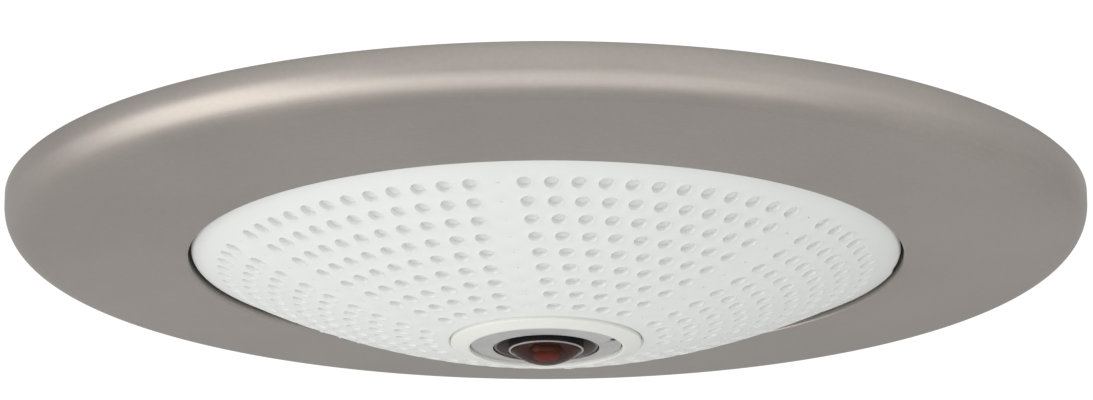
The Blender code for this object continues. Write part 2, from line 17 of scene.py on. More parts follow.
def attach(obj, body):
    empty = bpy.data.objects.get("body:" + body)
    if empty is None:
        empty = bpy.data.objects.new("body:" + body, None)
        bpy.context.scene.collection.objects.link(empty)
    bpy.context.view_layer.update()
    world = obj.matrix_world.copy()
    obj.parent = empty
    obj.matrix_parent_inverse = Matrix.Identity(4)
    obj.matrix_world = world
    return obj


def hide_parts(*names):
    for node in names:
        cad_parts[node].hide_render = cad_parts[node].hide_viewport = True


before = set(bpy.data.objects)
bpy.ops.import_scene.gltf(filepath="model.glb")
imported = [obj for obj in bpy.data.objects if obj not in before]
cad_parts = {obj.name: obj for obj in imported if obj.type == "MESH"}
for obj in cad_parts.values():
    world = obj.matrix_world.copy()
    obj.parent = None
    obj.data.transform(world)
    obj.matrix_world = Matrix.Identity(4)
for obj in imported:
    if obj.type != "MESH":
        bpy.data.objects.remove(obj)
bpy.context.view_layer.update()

LOG = logging.getLogger("ceiling_camera")
MM = 0.001
GAP = 0.3 * MM                       # clearance between neighbouring parts
ON_AXIS = 1e-9
HOLE_TURN = 0.05                     # starts a hole's circle off the plate's own corners
THIRDS = tuple(math.radians(a) for a in (90, 210, 330))
Outline = np.ndarray
Colour = tuple[float, float, float]
Point = tuple[float, float, float]
Spot = tuple[float, float]

# openings of the casing's hump, and the parts on the main board behind them
HUMP_TOP = 21.0 * MM
SOCKET: Spot = (-25.0 * MM, -6.0 * MM)
READER: Spot = (0.0, -32.0 * MM)
KEY: Spot = (20.0 * MM, -28.0 * MM)


class Body(Enum):
    """The rigid bodies that pieces ride on."""

    MOUNT = "mount"
    RING = "ring"
    CAMERA = "camera"
    CARD = "card"
    KEY = "key"
    CONE = "cone"
    SCREW_1 = "screw_1"
    SCREW_2 = "screw_2"
    NUT_1 = "nut_1"
    NUT_2 = "nut_2"
    DOG_1 = "dog_1"
    DOG_2 = "dog_2"


# ------------------------------------------------------------------ shader maths

class Val:
    """A shader socket that can be used in a Python expression."""

    def __init__(self, graph: "Graph", socket: bpy.types.NodeSocket) -> None:
        """Wrap a socket of a graph."""
        self.graph = graph
        self.socket = socket

    def _math(self, operation: str, first: Any, second: Any) -> "Val":
        """Add one Math node."""
        return self.graph.add("ShaderNodeMath", {"operation": operation}, {0: first, 1: second})

    def __add__(self, other: Any) -> "Val":
        """Sum."""
        return self._math("ADD", self, other)

    def __sub__(self, other: Any) -> "Val":
        """Difference."""
        return self._math("SUBTRACT", self, other)

    def __mul__(self, other: Any) -> "Val":
        """Product."""
        return self._math("MULTIPLY", self, other)

    def __truediv__(self, other: Any) -> "Val":
        """Quotient."""
        return self._math("DIVIDE", self, other)

    def ramp(self, low: float, high: float) -> "Val":
        """Smooth step: 0 below low, 1 above high."""
        smooth = {"interpolation_type": "SMOOTHSTEP"}
        ends = {"Value": self, "From Min": low, "From Max": high}
        return self.graph.add("ShaderNodeMapRange", smooth, ends, output="Result")


class Graph:
    """The node tree of one material, ending in a Principled shader."""

    def __init__(self, name: str) -> None:
        """Start an empty material.

        Args:
            name: the material's name.
        """
        self.material = bpy.data.materials.new(name)
        self.material.use_nodes = True
        self.tree = self.material.node_tree
        self.shader = self.tree.nodes["Principled BSDF"]

    def add(self, kind: str, settings: dict[str, Any] | None = None, inputs: dict[Any, Any] | None = None,
            output: int | str = 0) -> Val:
        """Add any node.

        Args:
            kind: the node's type.
            settings: its properties, set first.
            inputs: values or links of its sockets, by name or number.
            output: which output to return.

        Returns:
            The chosen output.
        """
        node = self.tree.nodes.new(kind)
        for key, value in (settings or {}).items():
            setattr(node, key, value)
        for key, value in (inputs or {}).items():
            self.put(node.inputs[key], value)
        return Val(self, node.outputs[output])

    def put(self, socket: bpy.types.NodeSocket, value: Any) -> None:
        """Link or set one socket."""
        if isinstance(value, Val):
            self.tree.links.new(value.socket, socket)
        elif isinstance(value, tuple) and len(value) == 3 and socket.type == "RGBA":
            socket.default_value = (*value, 1.0)
        else:
            socket.default_value = value

    def place(self) -> Val:
        """Object coordinates."""
        return self.add("ShaderNodeTexCoord", output="Object")

    def noise(self, scale: float, detail: float = 3.0, where: Val | None = None, rough: float = 0.5) -> Val:
        """Noise from 0 to 1 on object coordinates, its cells 1/scale metres wide."""
        values = {"Vector": where or self.place(), "Scale": scale, "Detail": detail, "Roughness": rough}
        return self.add("ShaderNodeTexNoise", {}, values)

    def mix(self, low: Any, high: Any, factor: Any) -> Val:
        """Mix two colours."""
        return self.add("ShaderNodeMix", {"data_type": "RGBA"}, {0: factor, 6: low, 7: high}, output=2)

    def polar(self) -> tuple[Val, Val]:
        """Radius and angle (radians) round the lens axis."""
        parts = self.add("ShaderNodeSeparateXYZ", {}, {0: self.place()})
        y = Val(self, parts.socket.node.outputs[1])
        radius = self.add("ShaderNodeMath", {"operation": "SQRT"}, {0: parts * parts + y * y})
        return radius, self.add("ShaderNodeMath", {"operation": "ARCTAN2"}, {0: y, 1: parts})

    def bump(self, height: Val, distance: float, strength: float) -> Val:
        """A Bump node's normal. Height 1 stands distance metres proud of height 0."""
        return self.add("ShaderNodeBump", {}, {"Height": height, "Distance": distance, "Strength": strength})

    def finish(self, **sockets: Any) -> bpy.types.Material:
        """Set the shader's sockets by name, with _ for a space."""
        for key, value in sockets.items():
            self.put(self.shader.inputs[key.replace("_", " ")], value)
        return self.material


# ------------------------------------------------------------------ finishes

def toned(colour: Colour, factor: float) -> Colour:
    """A colour made lighter or darker."""
    return tuple(min(1.0, c * factor) for c in colour)


@dataclass(frozen=True)
class SpunSteel:
    """Satin stainless sheet: soft mottling, a fine grain and a faint brushing round the axis."""

    name: str = "spun_steel"
    colour: Colour = (0.372, 0.340, 0.315)
    roughness: float = 0.42

    def build(self) -> bpy.types.Material:
        """Make the material."""
        graph = Graph(self.name)
        radius, angle = graph.polar()
        cloud = graph.noise(14.0, 5.0, rough=0.6)
        grain = graph.noise(900.0, 2.0)
        lines = graph.add("ShaderNodeCombineXYZ", {}, {0: radius * 2600.0, 1: angle * 5.0, 2: 0.0})
        brush = graph.noise(1.0, 2.0, where=lines)
        tone = cloud * 0.6 + grain * 0.2 + brush * 0.2
        light = toned(self.colour, 1.07)
        dark = toned(self.colour, 0.92)
        colour = graph.mix(dark, light, tone.ramp(0.3, 0.7))
        height = grain * 0.5 + brush * 0.5
        return graph.finish(Base_Color=colour, Metallic=1.0, Anisotropic=0.25,
                            Roughness=cloud * 0.10 + brush * 0.05 + (self.roughness - 0.075),
                            Normal=graph.bump(height, 0.000012, 0.6))


@dataclass(frozen=True)
class Moulded:
    """Moulded plastic: even colour with faint flow marks, and a fine spark-eroded texture."""

    name: str
    colour: Colour
    roughness: float = 0.5
    grain: float = 1600.0
    depth: float = 0.00002
    shade: float = 0.04

    def build(self) -> bpy.types.Material:
        """Make the material."""
        graph = Graph(self.name)
        flow = graph.noise(25.0, 4.0)
        grit = graph.noise(self.grain, 2.0)
        low = toned(self.colour, 1 - self.shade)
        high = toned(self.colour, 1 + self.shade)
        colour = graph.mix(low, high, (flow * 0.7 + grit * 0.3).ramp(0.25, 0.75))
        return graph.finish(Base_Color=colour, Roughness=flow * 0.08 + grit * 0.06 + (self.roughness - 0.07),
                            Normal=graph.bump(grit, self.depth, 0.5))


@dataclass(frozen=True)
class RimmedBlack:
    """Glossy black anodising, worn to grey on the barrel's rim: below the level of the rim's edge."""

    name: str = "barrel_black"
    colour: Colour = (0.012, 0.011, 0.012)
    worn: Colour = (0.24, 0.23, 0.225)
    level: float = -33.28 * MM

    def build(self) -> bpy.types.Material:
        """Make the material."""
        graph = Graph(self.name)
        z = graph.add("ShaderNodeSeparateXYZ", {}, {0: graph.place()}, output=2)
        grit = graph.noise(2600.0, 2.0)
        rim = (z * -1000.0 + grit * 0.05).ramp(-self.level / MM, -self.level / MM + 0.12)
        return graph.finish(Base_Color=graph.mix(self.colour, self.worn, rim), Roughness=grit * 0.08 + 0.14,
                            Normal=graph.bump(grit, 0.000003, 0.5))


@dataclass(frozen=True)
class Turned:
    """Lathe-turned metal: rings of fine tool marks round the lens axis."""

    name: str
    colour: Colour
    roughness: float = 0.3
    pitch: float = 0.00012

    def build(self) -> bpy.types.Material:
        """Make the material."""
        graph = Graph(self.name)
        radius, angle = graph.polar()
        lines = graph.add("ShaderNodeCombineXYZ", {}, {0: radius / self.pitch, 1: angle * 2.0, 2: 0.0})
        marks = graph.noise(1.0, 2.0, where=lines)
        cloud = graph.noise(180.0, 3.0)
        low = toned(self.colour, 0.85)
        high = toned(self.colour, 1.1)
        colour = graph.mix(low, high, (marks * 0.7 + cloud * 0.3).ramp(0.3, 0.7))
        return graph.finish(Base_Color=colour, Metallic=1.0, Anisotropic=0.4,
                            Roughness=marks * 0.12 + (self.roughness - 0.06),
                            Normal=graph.bump(marks, 0.000006, 0.7))


@dataclass(frozen=True)
class Plated:
    """Zinc-plated steel: bluish spangle patches with dull, slightly yellow spots."""

    name: str
    colour: Colour = (0.60, 0.61, 0.62)
    roughness: float = 0.32

    def build(self) -> bpy.types.Material:
        """Make the material."""
        graph = Graph(self.name)
        patch = graph.noise(120.0, 4.0, rough=0.65)
        fine = graph.noise(1400.0, 2.0)
        yellow = (self.colour[0] * 0.95, self.colour[1] * 0.91, self.colour[2] * 0.80)
        colour = graph.mix(self.colour, yellow, patch.ramp(0.45, 0.8))
        return graph.finish(Base_Color=colour, Metallic=1.0,
                            Roughness=patch * 0.2 + fine * 0.06 + (self.roughness - 0.1),
                            Normal=graph.bump(fine, 0.000008, 0.6))


@dataclass(frozen=True)
class LensGlass:
    """Polished smoked glass, as a stand-in for an optical glass.

    Its index is far below that of real glass, about 1.5, on purpose. With a real index the dome
    mirrors the bright surround and hides what is behind it.
    """

    name: str
    colour: Colour
    roughness: float = 0.01
    index: float = 1.06

    def build(self) -> bpy.types.Material:
        """Make the material."""
        graph = Graph(self.name)
        smear = graph.noise(260.0, 3.0)
        low = toned(self.colour, 0.9)
        return graph.finish(Base_Color=graph.mix(low, self.colour, smear), Transmission_Weight=1.0,
                            IOR=self.index, Roughness=smear * 0.01 + self.roughness, Coat_Weight=0.18,
                            Coat_Roughness=0.02)


@dataclass(frozen=True)
class CoatedGlass:
    """A thick element seen against a black bore: it looks solid, dark red, with coloured reflections."""

    name: str
    colour: Colour
    glint: Colour
    index: float = 2.0

    def build(self) -> bpy.types.Material:
        """Make the material."""
        graph = Graph(self.name)
        radius, _ = graph.polar()
        smear = graph.noise(300.0, 3.0)
        edge = toned(self.colour, 0.12)
        return graph.finish(Base_Color=graph.mix(self.colour, edge, (radius * 1000.0).ramp(1.6, 3.9)),
                            Roughness=smear * 0.02 + 0.03, IOR=self.index, Specular_Tint=(*self.glint, 1.0))


@dataclass(frozen=True)
class Board:
    """Solder resist over copper: tracks show as slightly raised, lighter lines."""

    name: str = "board_resist"
    colour: Colour = (0.02, 0.15, 0.07)

    def build(self) -> bpy.types.Material:
        """Make the material."""
        graph = Graph(self.name)
        tracks = {"Vector": graph.place(), "Scale": 160.0, "Mortar Size": 0.03}
        cells = graph.add("ShaderNodeTexBrick", {}, tracks, output=1)
        fine = graph.noise(800.0, 2.0)
        light = toned(self.colour, 1.8)
        colour = graph.mix(self.colour, light, cells * 0.7 + fine * 0.2)
        return graph.finish(Base_Color=colour, Roughness=fine * 0.1 + 0.3, Coat_Weight=0.5,
                            Normal=graph.bump(cells, 0.00003, 0.5))


class Finishes:
    """Every material of the model, made once."""

    def __init__(self) -> None:
        """Build the materials."""
        self.steel = SpunSteel().build()
        self.shell = Moulded("shell_white", (0.633, 0.646, 0.640), 0.5, 2200.0, 0.000012, 0.015).build()
        self.collar = Moulded("collar_cream", (0.640, 0.642, 0.618), 0.34, 2600.0, 0.000006, 0.015).build()
        self.bezel = Turned("bezel_aluminium", (0.60, 0.60, 0.60), 0.34).build()
        self.barrel = RimmedBlack().build()
        self.funnel = Moulded("funnel_brown", (0.085, 0.070, 0.066), 0.36, 2600.0, 0.000006, 0.15).build()
        self.black = Moulded("black_nylon", (0.035, 0.035, 0.037), 0.5, 1400.0, 0.00002, 0.2).build()
        self.mount = Moulded("mount_charcoal", (0.10, 0.105, 0.11), 0.55, 1400.0, 0.00003, 0.1).build()
        self.housing = Moulded("housing_light_grey", (0.56, 0.575, 0.575), 0.52, 1400.0, 0.00003,
                               0.03).build()
        self.rubber = Moulded("rubber_black", (0.025, 0.025, 0.025), 0.75, 1200.0, 0.00003, 0.2).build()
        self.zinc = Plated("zinc_plate").build()
        self.screw = Plated("screw_plate", (0.66, 0.66, 0.655), 0.26).build()
        self.brass = Turned("brass_turned", (0.72, 0.55, 0.26), 0.28).build()
        self.glass = LensGlass("front_glass_smoked", (0.24, 0.165, 0.15)).build()
        self.inner_glass = CoatedGlass("inner_glass_coated", (0.42, 0.050, 0.026), (1.0, 0.45, 0.22)).build()
        self.pin = Plated("contact_gold", (0.80, 0.60, 0.28), 0.25).build()
        self.board = Board().build()
        self.light_metal = Plated("aluminium_raw", (0.68, 0.68, 0.69), 0.34).build()
        self.chip = Moulded("chip_moulding", (0.03, 0.03, 0.033), 0.42, 2400.0, 0.00001, 0.15).build()
        self.ferrite = Moulded("ferrite_grey", (0.10, 0.10, 0.11), 0.45, 900.0, 0.00002, 0.2).build()
        self.paper = Moulded("cone_paper", (0.05, 0.05, 0.05), 0.85, 1800.0, 0.00004, 0.3).build()


# ------------------------------------------------------------------ surfaces

def arc(centre: Spot, radius: float, start: float, end: float, count: int) -> Outline:
    """Points on a circle's arc: centre + radius (cos a, sin a), a from start to end degrees."""
    a = np.radians(np.linspace(start, end, count + 1))
    return np.column_stack([centre[0] + radius * np.cos(a), centre[1] + radius * np.sin(a)])


def rounded(outline: Sequence[Spot], radius: float, segments: int = 3,
            open_ends: bool = False) -> Outline:
    """Round an outline's corners: each becomes a quadratic curve between points a radius away.

    Args:
        outline: corners in (r, z).
        radius: how far from a corner its curve starts, at most 45% of the shorter side.
        segments: pieces of each curve.
        open_ends: leave the first and last corner sharp, as on the lens axis.

    Returns:
        The rounded outline.
    """
    points = np.array(outline, dtype=float)
    before, after = np.roll(points, 1, axis=0), np.roll(points, -1, axis=0)
    result = []
    for index, (p, a, b) in enumerate(zip(points, before, after)):
        if open_ends and index in (0, len(points) - 1):
            result.append(p[None, :])
            continue
        to_a, to_b = a - p, b - p
        reach = min(radius, 0.45 * np.linalg.norm(to_a), 0.45 * np.linalg.norm(to_b))
        first = p + to_a / np.linalg.norm(to_a) * reach
        last = p + to_b / np.linalg.norm(to_b) * reach
        t = np.linspace(0, 1, segments + 1)[:, None]
        result.append((1 - t) ** 2 * first + 2 * t * (1 - t) * p + t ** 2 * last)
    return np.vstack(result)


def block(inner: float, outer: float, low: float, high: float) -> list[Spot]:
    """The four corners of a plain (r, z) outline."""
    return [(inner, low), (outer, low), (outer, high), (inner, high)]


def counterclockwise(outline: Outline) -> Outline:
    """Order a closed (r, z) outline so that its faces point outwards."""
    r, z = outline[:, 0], outline[:, 1]
    area = np.sum(r * np.roll(z, -1) - np.roll(r, -1) * z)
    return outline if area > 0 else outline[::-1]


def offset(loop: np.ndarray, distance: float) -> np.ndarray:
    """Move a counterclockwise loop's sides outwards, corners along their mitres."""
    def normals(sides: np.ndarray) -> np.ndarray:
        return np.column_stack([sides[:, 1], -sides[:, 0]]) / np.linalg.norm(sides, axis=1)[:, None]
    mitre = normals(np.roll(loop, -1, axis=0) - loop) + normals(loop - np.roll(loop, 1, axis=0))
    return loop + distance * 2 * mitre / np.sum(mitre * mitre, axis=1)[:, None]


def circle(radius: float, steps: int, x: float = 0.0, y: float = 0.0, turn: float = 0.0) -> np.ndarray:
    """A counterclockwise circle, or a regular polygon."""
    a = turn + 2 * np.pi * np.arange(steps) / steps
    return np.column_stack([x + radius * np.cos(a), y + radius * np.sin(a)])


def rectangle(width: float, depth: float, x: float = 0.0, y: float = 0.0, corner: float = 0.5 * MM,
              segments: int = 3) -> np.ndarray:
    """A counterclockwise rectangle with round corners."""
    w, d = width / 2 - corner, depth / 2 - corner
    corners = [(w, d, 0), (-w, d, 90), (-w, -d, 180), (w, -d, 270)]
    return np.vstack([arc((x + cx, y + cy), corner, start, start + 90, segments)
                      for cx, cy, start in corners])


def sector(inner: float, outer: float, middle: float, span: float, segments: int = 16) -> np.ndarray:
    """A counterclockwise piece of a ring, seen from above, its angles in radians."""
    low, high = math.degrees(middle - span / 2), math.degrees(middle + span / 2)
    return np.vstack([arc((0, 0), outer, low, high, segments), arc((0, 0), inner, high, low, segments)])


@dataclass
class Skin:
    """A mesh in the making: blocks of vertices, and faces as arrays of vertex numbers."""

    blocks: list[np.ndarray] = field(default_factory=list)
    quads: list[np.ndarray] = field(default_factory=list)
    tris: list[np.ndarray] = field(default_factory=list)
    count: int = 0

    def points(self, xyz: np.ndarray) -> np.ndarray:
        """Add vertices, and return their numbers in the same arrangement.

        Args:
            xyz: array whose last axis holds x, y and z.

        Returns:
            Vertex numbers, of the shape of xyz without its last axis.
        """
        shape = xyz.shape[:-1]
        flat = xyz.reshape(-1, 3)
        numbers = np.arange(self.count, self.count + len(flat)).reshape(shape)
        self.blocks.append(flat)
        self.count += len(flat)
        return numbers

    def band(self, first: np.ndarray, second: np.ndarray) -> None:
        """Quads between two closed loops of the same length."""
        ahead = np.roll(first, -1, axis=-1), np.roll(second, -1, axis=-1)
        self.quads.append(np.stack([first, ahead[0], ahead[1], second], axis=-1).reshape(-1, 4))

    def fan(self, loop: np.ndarray, tip: np.ndarray, inward: bool = True) -> None:
        """Triangles from closed loops to their tips."""
        ahead = np.roll(loop, -1, axis=-1)
        tips = np.broadcast_to(tip[..., None], loop.shape)
        order = [loop, ahead, tips] if inward else [ahead, loop, tips]
        self.tris.append(np.stack(order, axis=-1).reshape(-1, 3))

    def zipper(self, first: np.ndarray, first_start: float, second: np.ndarray, second_start: float) -> None:
        """Triangles between two rings with different numbers of points.

        Both rings step round together: every point, in the order of its angle, adds one triangle with
        its own ring's last point and the other ring's.

        Args:
            first: vertex numbers of the ring that the outline meets first.
            first_start: angle of its point 0.
            second: vertex numbers of the other ring.
            second_start: angle of its point 0.
        """
        a, b = len(first), len(second)
        key_a = first_start + 2 * np.pi * (np.arange(a) + 1) / a
        key_b = second_start + 2 * np.pi * (np.arange(b) + 1) / b
        at_b = np.searchsorted(key_b, key_a, side="left") % b
        at_a = np.searchsorted(key_a, key_b, side="right") % a
        self.tris.append(np.column_stack([first, np.roll(first, -1), second[at_b]]))
        self.tris.append(np.column_stack([first[at_a], np.roll(second, -1), second]))

    def fill(self, rings: list[np.ndarray], loops: list[np.ndarray], up: bool) -> None:
        """Triangles of a flat face with convex holes.

        Args:
            rings: vertex numbers of the outer loop, then of each hole.
            loops: their (x, y) points.
            up: face +Z, not -Z.
        """
        sizes = [len(loop) for loop in loops]
        flat = np.concatenate(loops)
        numbers = np.concatenate(rings)
        label = np.repeat(np.arange(len(loops)), sizes)
        starts = np.cumsum([0, *sizes[:-1]])
        edges = [np.column_stack([start + np.arange(size), start + (np.arange(size) + 1) % size])
                 for start, size in zip(starts, sizes)]
        places = [Vector(p) for p in flat.tolist()]
        _, _, made, origins, *_ = delaunay_2d_cdt(places, np.concatenate(edges).tolist(), [], 1, 1e-9)
        tris = np.array([group[0] for group in origins])[np.array(made)]
        in_hole = (label[tris[:, 0]] > 0) & (label[tris] == label[tris[:, :1]]).all(axis=1)
        tris = tris[~in_hole]
        a, b, c = (flat[tris[:, i]] for i in range(3))
        area = (b[:, 0] - a[:, 0]) * (c[:, 1] - a[:, 1]) - (b[:, 1] - a[:, 1]) * (c[:, 0] - a[:, 0])
        wrong = (area > 0) != up
        tris[wrong] = tris[wrong][:, ::-1]
        self.tris.append(numbers[tris])

    def slab(self, outer: np.ndarray, low: float, high: float, holes: Sequence[np.ndarray] = (),
             soft: float = 0.2 * MM, top_soft: float | None = None, segments: int = 2) -> "Skin":
        """A plate with rounded edges and holes.

        Each edge is a quarter circle: at angle a from the flat face, the loop is inset by
        radius (1 - sin a) and lies radius (1 - cos a) from the face.

        Args:
            outer: counterclockwise (x, y) loop.
            low: height of its underside.
            high: height of its top.
            holes: counterclockwise convex loops.
            soft: radius of the lower edges, and of the holes' upper edges.
            top_soft: radius of the outer loop's upper edge, if it differs.
            segments: pieces of each quarter circle.

        Returns:
            The skin itself.
        """
        a = np.linspace(0, np.pi / 2, segments + 1)
        faces: dict[bool, list[tuple[np.ndarray, np.ndarray]]] = {False: [], True: []}
        for index, loop in enumerate([outer, *holes]):
            side = 1.0 if index else -1.0
            upper = soft if index or top_soft is None else top_soft
            below = [(offset(loop, side * soft * (1 - math.sin(t))), low + soft * (1 - math.cos(t)))
                     for t in a]
            above = [(offset(loop, side * upper * (1 - math.sin(t))), high - upper * (1 - math.cos(t)))
                     for t in a[::-1]]
            levels = below + above
            rings = [self.points(np.column_stack([xy, np.full(len(xy), z)])) for xy, z in levels]
            for first, second in zip(rings, rings[1:]):
                self.band(*((second, first) if index else (first, second)))
            faces[False].append((rings[0], levels[0][0]))
            faces[True].append((rings[-1], levels[-1][0]))
        for up, parts in faces.items():
            self.fill([ring for ring, _ in parts], [loop for _, loop in parts], up)
        return self

    def ring(self, outline: Outline, steps: int, centre: Spot = (0.0, 0.0)) -> "Skin":
        """A turned ring of a closed outline that doesn't reach the axis."""
        outline = counterclockwise(np.asarray(outline, dtype=float))
        rings = self.points(spin(outline[:, 0], outline[:, 1], steps, centre=centre))
        self.band(rings, np.roll(rings, -1, axis=0))
        return self

    def upright(self, angle: float, *others: float) -> "Skin":
        """Stand up what lies flat: (u, v, w) becomes radius u, height v and -w along the circle.

        Args:
            angle: where on the circle the first copy stands.
            others: angles of more copies.

        Returns:
            A new skin with the copies.
        """
        flat, copies = np.concatenate(self.blocks), Skin()
        for turn in (angle, *others):
            c, s = math.cos(turn), math.sin(turn)
            start = copies.count
            u, v, w = flat.T
            copies.points(np.column_stack([u * c + w * s, u * s - w * c, v]))
            copies.quads += [quads + start for quads in self.quads]
            copies.tris += [tris + start for tris in self.tris]
        return copies

    def join(self, other: "Skin") -> "Skin":
        """Add another skin's vertices and faces."""
        self.quads += [quads + self.count for quads in other.quads]
        self.tris += [tris + self.count for tris in other.tris]
        self.blocks += other.blocks
        self.count += other.count
        return self

    def piece(self, name: str, sharp: float = 40.0) -> bpy.types.Object:
        """Make the object.

        Args:
            name: the piece's name.
            sharp: edges that bend by more than this many degrees stay sharp.

        Returns:
            The new object, at the origin.
        """
        mesh = bpy.data.meshes.new(name)
        verts = np.concatenate(self.blocks).astype(np.float32)
        groups = [np.concatenate(g) for g in (self.quads, self.tris) if g]
        loops = np.concatenate([g.ravel() for g in groups]).astype(np.int32)
        totals = np.concatenate([np.full(len(g), g.shape[1]) for g in groups]).astype(np.int32)
        starts = np.concatenate([[0], np.cumsum(totals)[:-1]]).astype(np.int32)
        mesh.vertices.add(len(verts))
        mesh.vertices.foreach_set("co", verts.ravel())
        mesh.loops.add(len(loops))
        mesh.loops.foreach_set("vertex_index", loops)
        mesh.polygons.add(len(totals))
        mesh.polygons.foreach_set("loop_start", starts)
        mesh.update(calc_edges=True)
        mesh.validate()
        mesh.shade_smooth()
        mesh.set_sharp_from_angle(angle=math.radians(sharp))
        obj = bpy.data.objects.new(name, mesh)
        bpy.context.scene.collection.objects.link(obj)
        return obj


def spin(r: np.ndarray, z: np.ndarray, steps: int, start: float = 0.0,
         centre: Spot = (0.0, 0.0)) -> np.ndarray:
    """Turn points round an upright axis: (r cos a, r sin a, z) for each step's angle a.

    Args:
        r: radii, one for each outline point.
        z: heights.
        steps: points round the axis.
        start: angle of the first point.
        centre: x and y of the axis.

    Returns:
        Array (outline, step, xyz).
    """
    a = start + 2 * np.pi * np.arange(steps) / steps
    r, z = np.asarray(r)[:, None], np.asarray(z)[:, None]
    x, y = centre[0] + r * np.cos(a), centre[1] + r * np.sin(a)
    return np.stack([x, y, np.broadcast_to(z, x.shape)], axis=-1)


def lathe(name: str, outline: Outline, steps: int, centre: Spot = (0.0, 0.0),
          sharp: float = 40.0) -> bpy.types.Object:
    """A turned piece. An outline that starts and ends at r = 0 closes at two poles.

    Args:
        name: the piece's name.
        outline: (r, z) points.
        steps: points round the axis.
        centre: x and y of the axis.
        sharp: edges that bend more than this many degrees stay sharp.

    Returns:
        The piece.
    """
    outline = counterclockwise(np.asarray(outline, dtype=float))
    on_axis = outline[:, 0] < ON_AXIS
    if not on_axis.any():
        return Skin().ring(outline, steps, centre).piece(name, sharp)
    first = int(np.argmax(on_axis & ~np.roll(on_axis, -1)))
    outline, on_axis = np.roll(outline, -first, axis=0), np.roll(on_axis, -first)
    body, poles = outline[~on_axis], outline[on_axis]
    skin = Skin()
    rings = skin.points(spin(body[:, 0], body[:, 1], steps, centre=centre))
    skin.band(rings[:-1], rings[1:])
    tips = skin.points(np.array([[*centre, poles[0, 1]], [*centre, poles[-1, 1]]]))
    skin.fan(rings[0], tips[0], inward=False)
    skin.fan(rings[-1], tips[1])
    return skin.piece(name, sharp)


def dress(piece: bpy.types.Object, material: bpy.types.Material, node: str,
          body: Body = Body.CAMERA) -> None:
    """Give a piece its material, slot, body and the CAD node that it stands for.

    Args:
        piece: the piece.
        material: its one material.
        node: the CAD node that it replaces.
        body: the body that it rides on.
    """
    piece.data.materials.append(material)
    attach(piece, body.value)
    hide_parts(node)
    LOG.info("%s: %d faces", piece.name, len(piece.data.polygons))


def paint(material: bpy.types.Material, *nodes: str) -> None:
    """Give CAD nodes that stay a better material."""
    for node in nodes:
        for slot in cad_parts[node].material_slots:
            slot.material = material
        LOG.info("%s: painted %s", node, material.name)


# ------------------------------------------------------------------ trim ring

@dataclass
class TrimRing:
    """The spun ring: straight edge, round nose, a face sloping to the opening and a rolled lip."""

    outer_r: float = 122.5 * MM
    opening_r: float = 81.1 * MM
    wall: float = 1.2 * MM
    edge: float = 3.0 * MM
    nose_r: float = 7.7 * MM
    slope: float = 4.36
    lip_r: float = 0.6 * MM
    collar_top: float = -8.0 * MM
    steps: int = 384

    def outline(self) -> Outline:
        """Outer skin from the back edge round to the collar, and the inner skin a wall behind it."""
        nose = (self.outer_r - self.nose_r, -self.edge)
        fall, lean = math.tan(math.radians(self.slope)), math.cos(math.radians(self.slope))
        down = self.slope - 90
        front_nose = arc(nose, self.nose_r, 0, down, 28)
        start = front_nose[-1]
        lip_x = self.opening_r + self.lip_r
        lip_z = start[1] - (start[0] - lip_x) * fall + self.lip_r / lean
        lip = arc((lip_x, lip_z), self.lip_r, down, -180, 10)
        face_r = np.linspace(start[0], lip[0, 0], 14)[1:-1]
        face = np.column_stack([face_r, start[1] - (start[0] - face_r) * fall])
        inner_r = self.opening_r + self.wall
        inner_z = start[1] - (start[0] - inner_r) * fall + self.wall / lean
        back_nose = arc(nose, self.nose_r - self.wall, down, 0, 16)
        soft = 0.35 * MM
        edge_in = self.outer_r - self.wall
        back_edge = [(edge_in, -soft), (edge_in + soft, 0), (self.outer_r - soft, 0), (self.outer_r, -soft)]
        collar_edge = [(self.opening_r, self.collar_top - soft), (self.opening_r + soft, self.collar_top),
                       (inner_r - soft, self.collar_top), (inner_r, self.collar_top - soft)]
        return np.vstack([front_nose, face, lip, collar_edge, [(inner_r, inner_z)], back_nose, back_edge])

    def clip(self) -> Skin:
        """A bent leaf spring, drawn from its side: radius across, height up."""
        leaf, foot, low, high, sheet = 87.3 * MM, 96.0 * MM, -10.6 * MM, -3.4 * MM, 0.8 * MM
        side = [(leaf, low), (foot, low), (foot, low + sheet), (leaf + sheet, low + sheet),
                (leaf + sheet, high - 1.6 * MM), (leaf + 2.2 * MM, high), (leaf + 1.4 * MM, high + 0.4 * MM),
                (leaf, high - 1.4 * MM)]
        return Skin().slab(rounded(side, 0.3 * MM), -6 * MM, 6 * MM, soft=0.1 * MM)

    def build(self, finishes: Finishes) -> None:
        """Make the ring and its clips."""
        ring = lathe("ring_shell", self.outline(), self.steps, sharp=60)
        dress(ring, finishes.steel, "trim_ring", Body.RING)
        for index, turn in enumerate(THIRDS, 1):
            dress(self.clip().upright(turn).piece(f"leaf_clip_{index}", 50), finishes.zinc,
                  f"ring_clip_{index}", Body.RING)


# ------------------------------------------------------------------ white shell

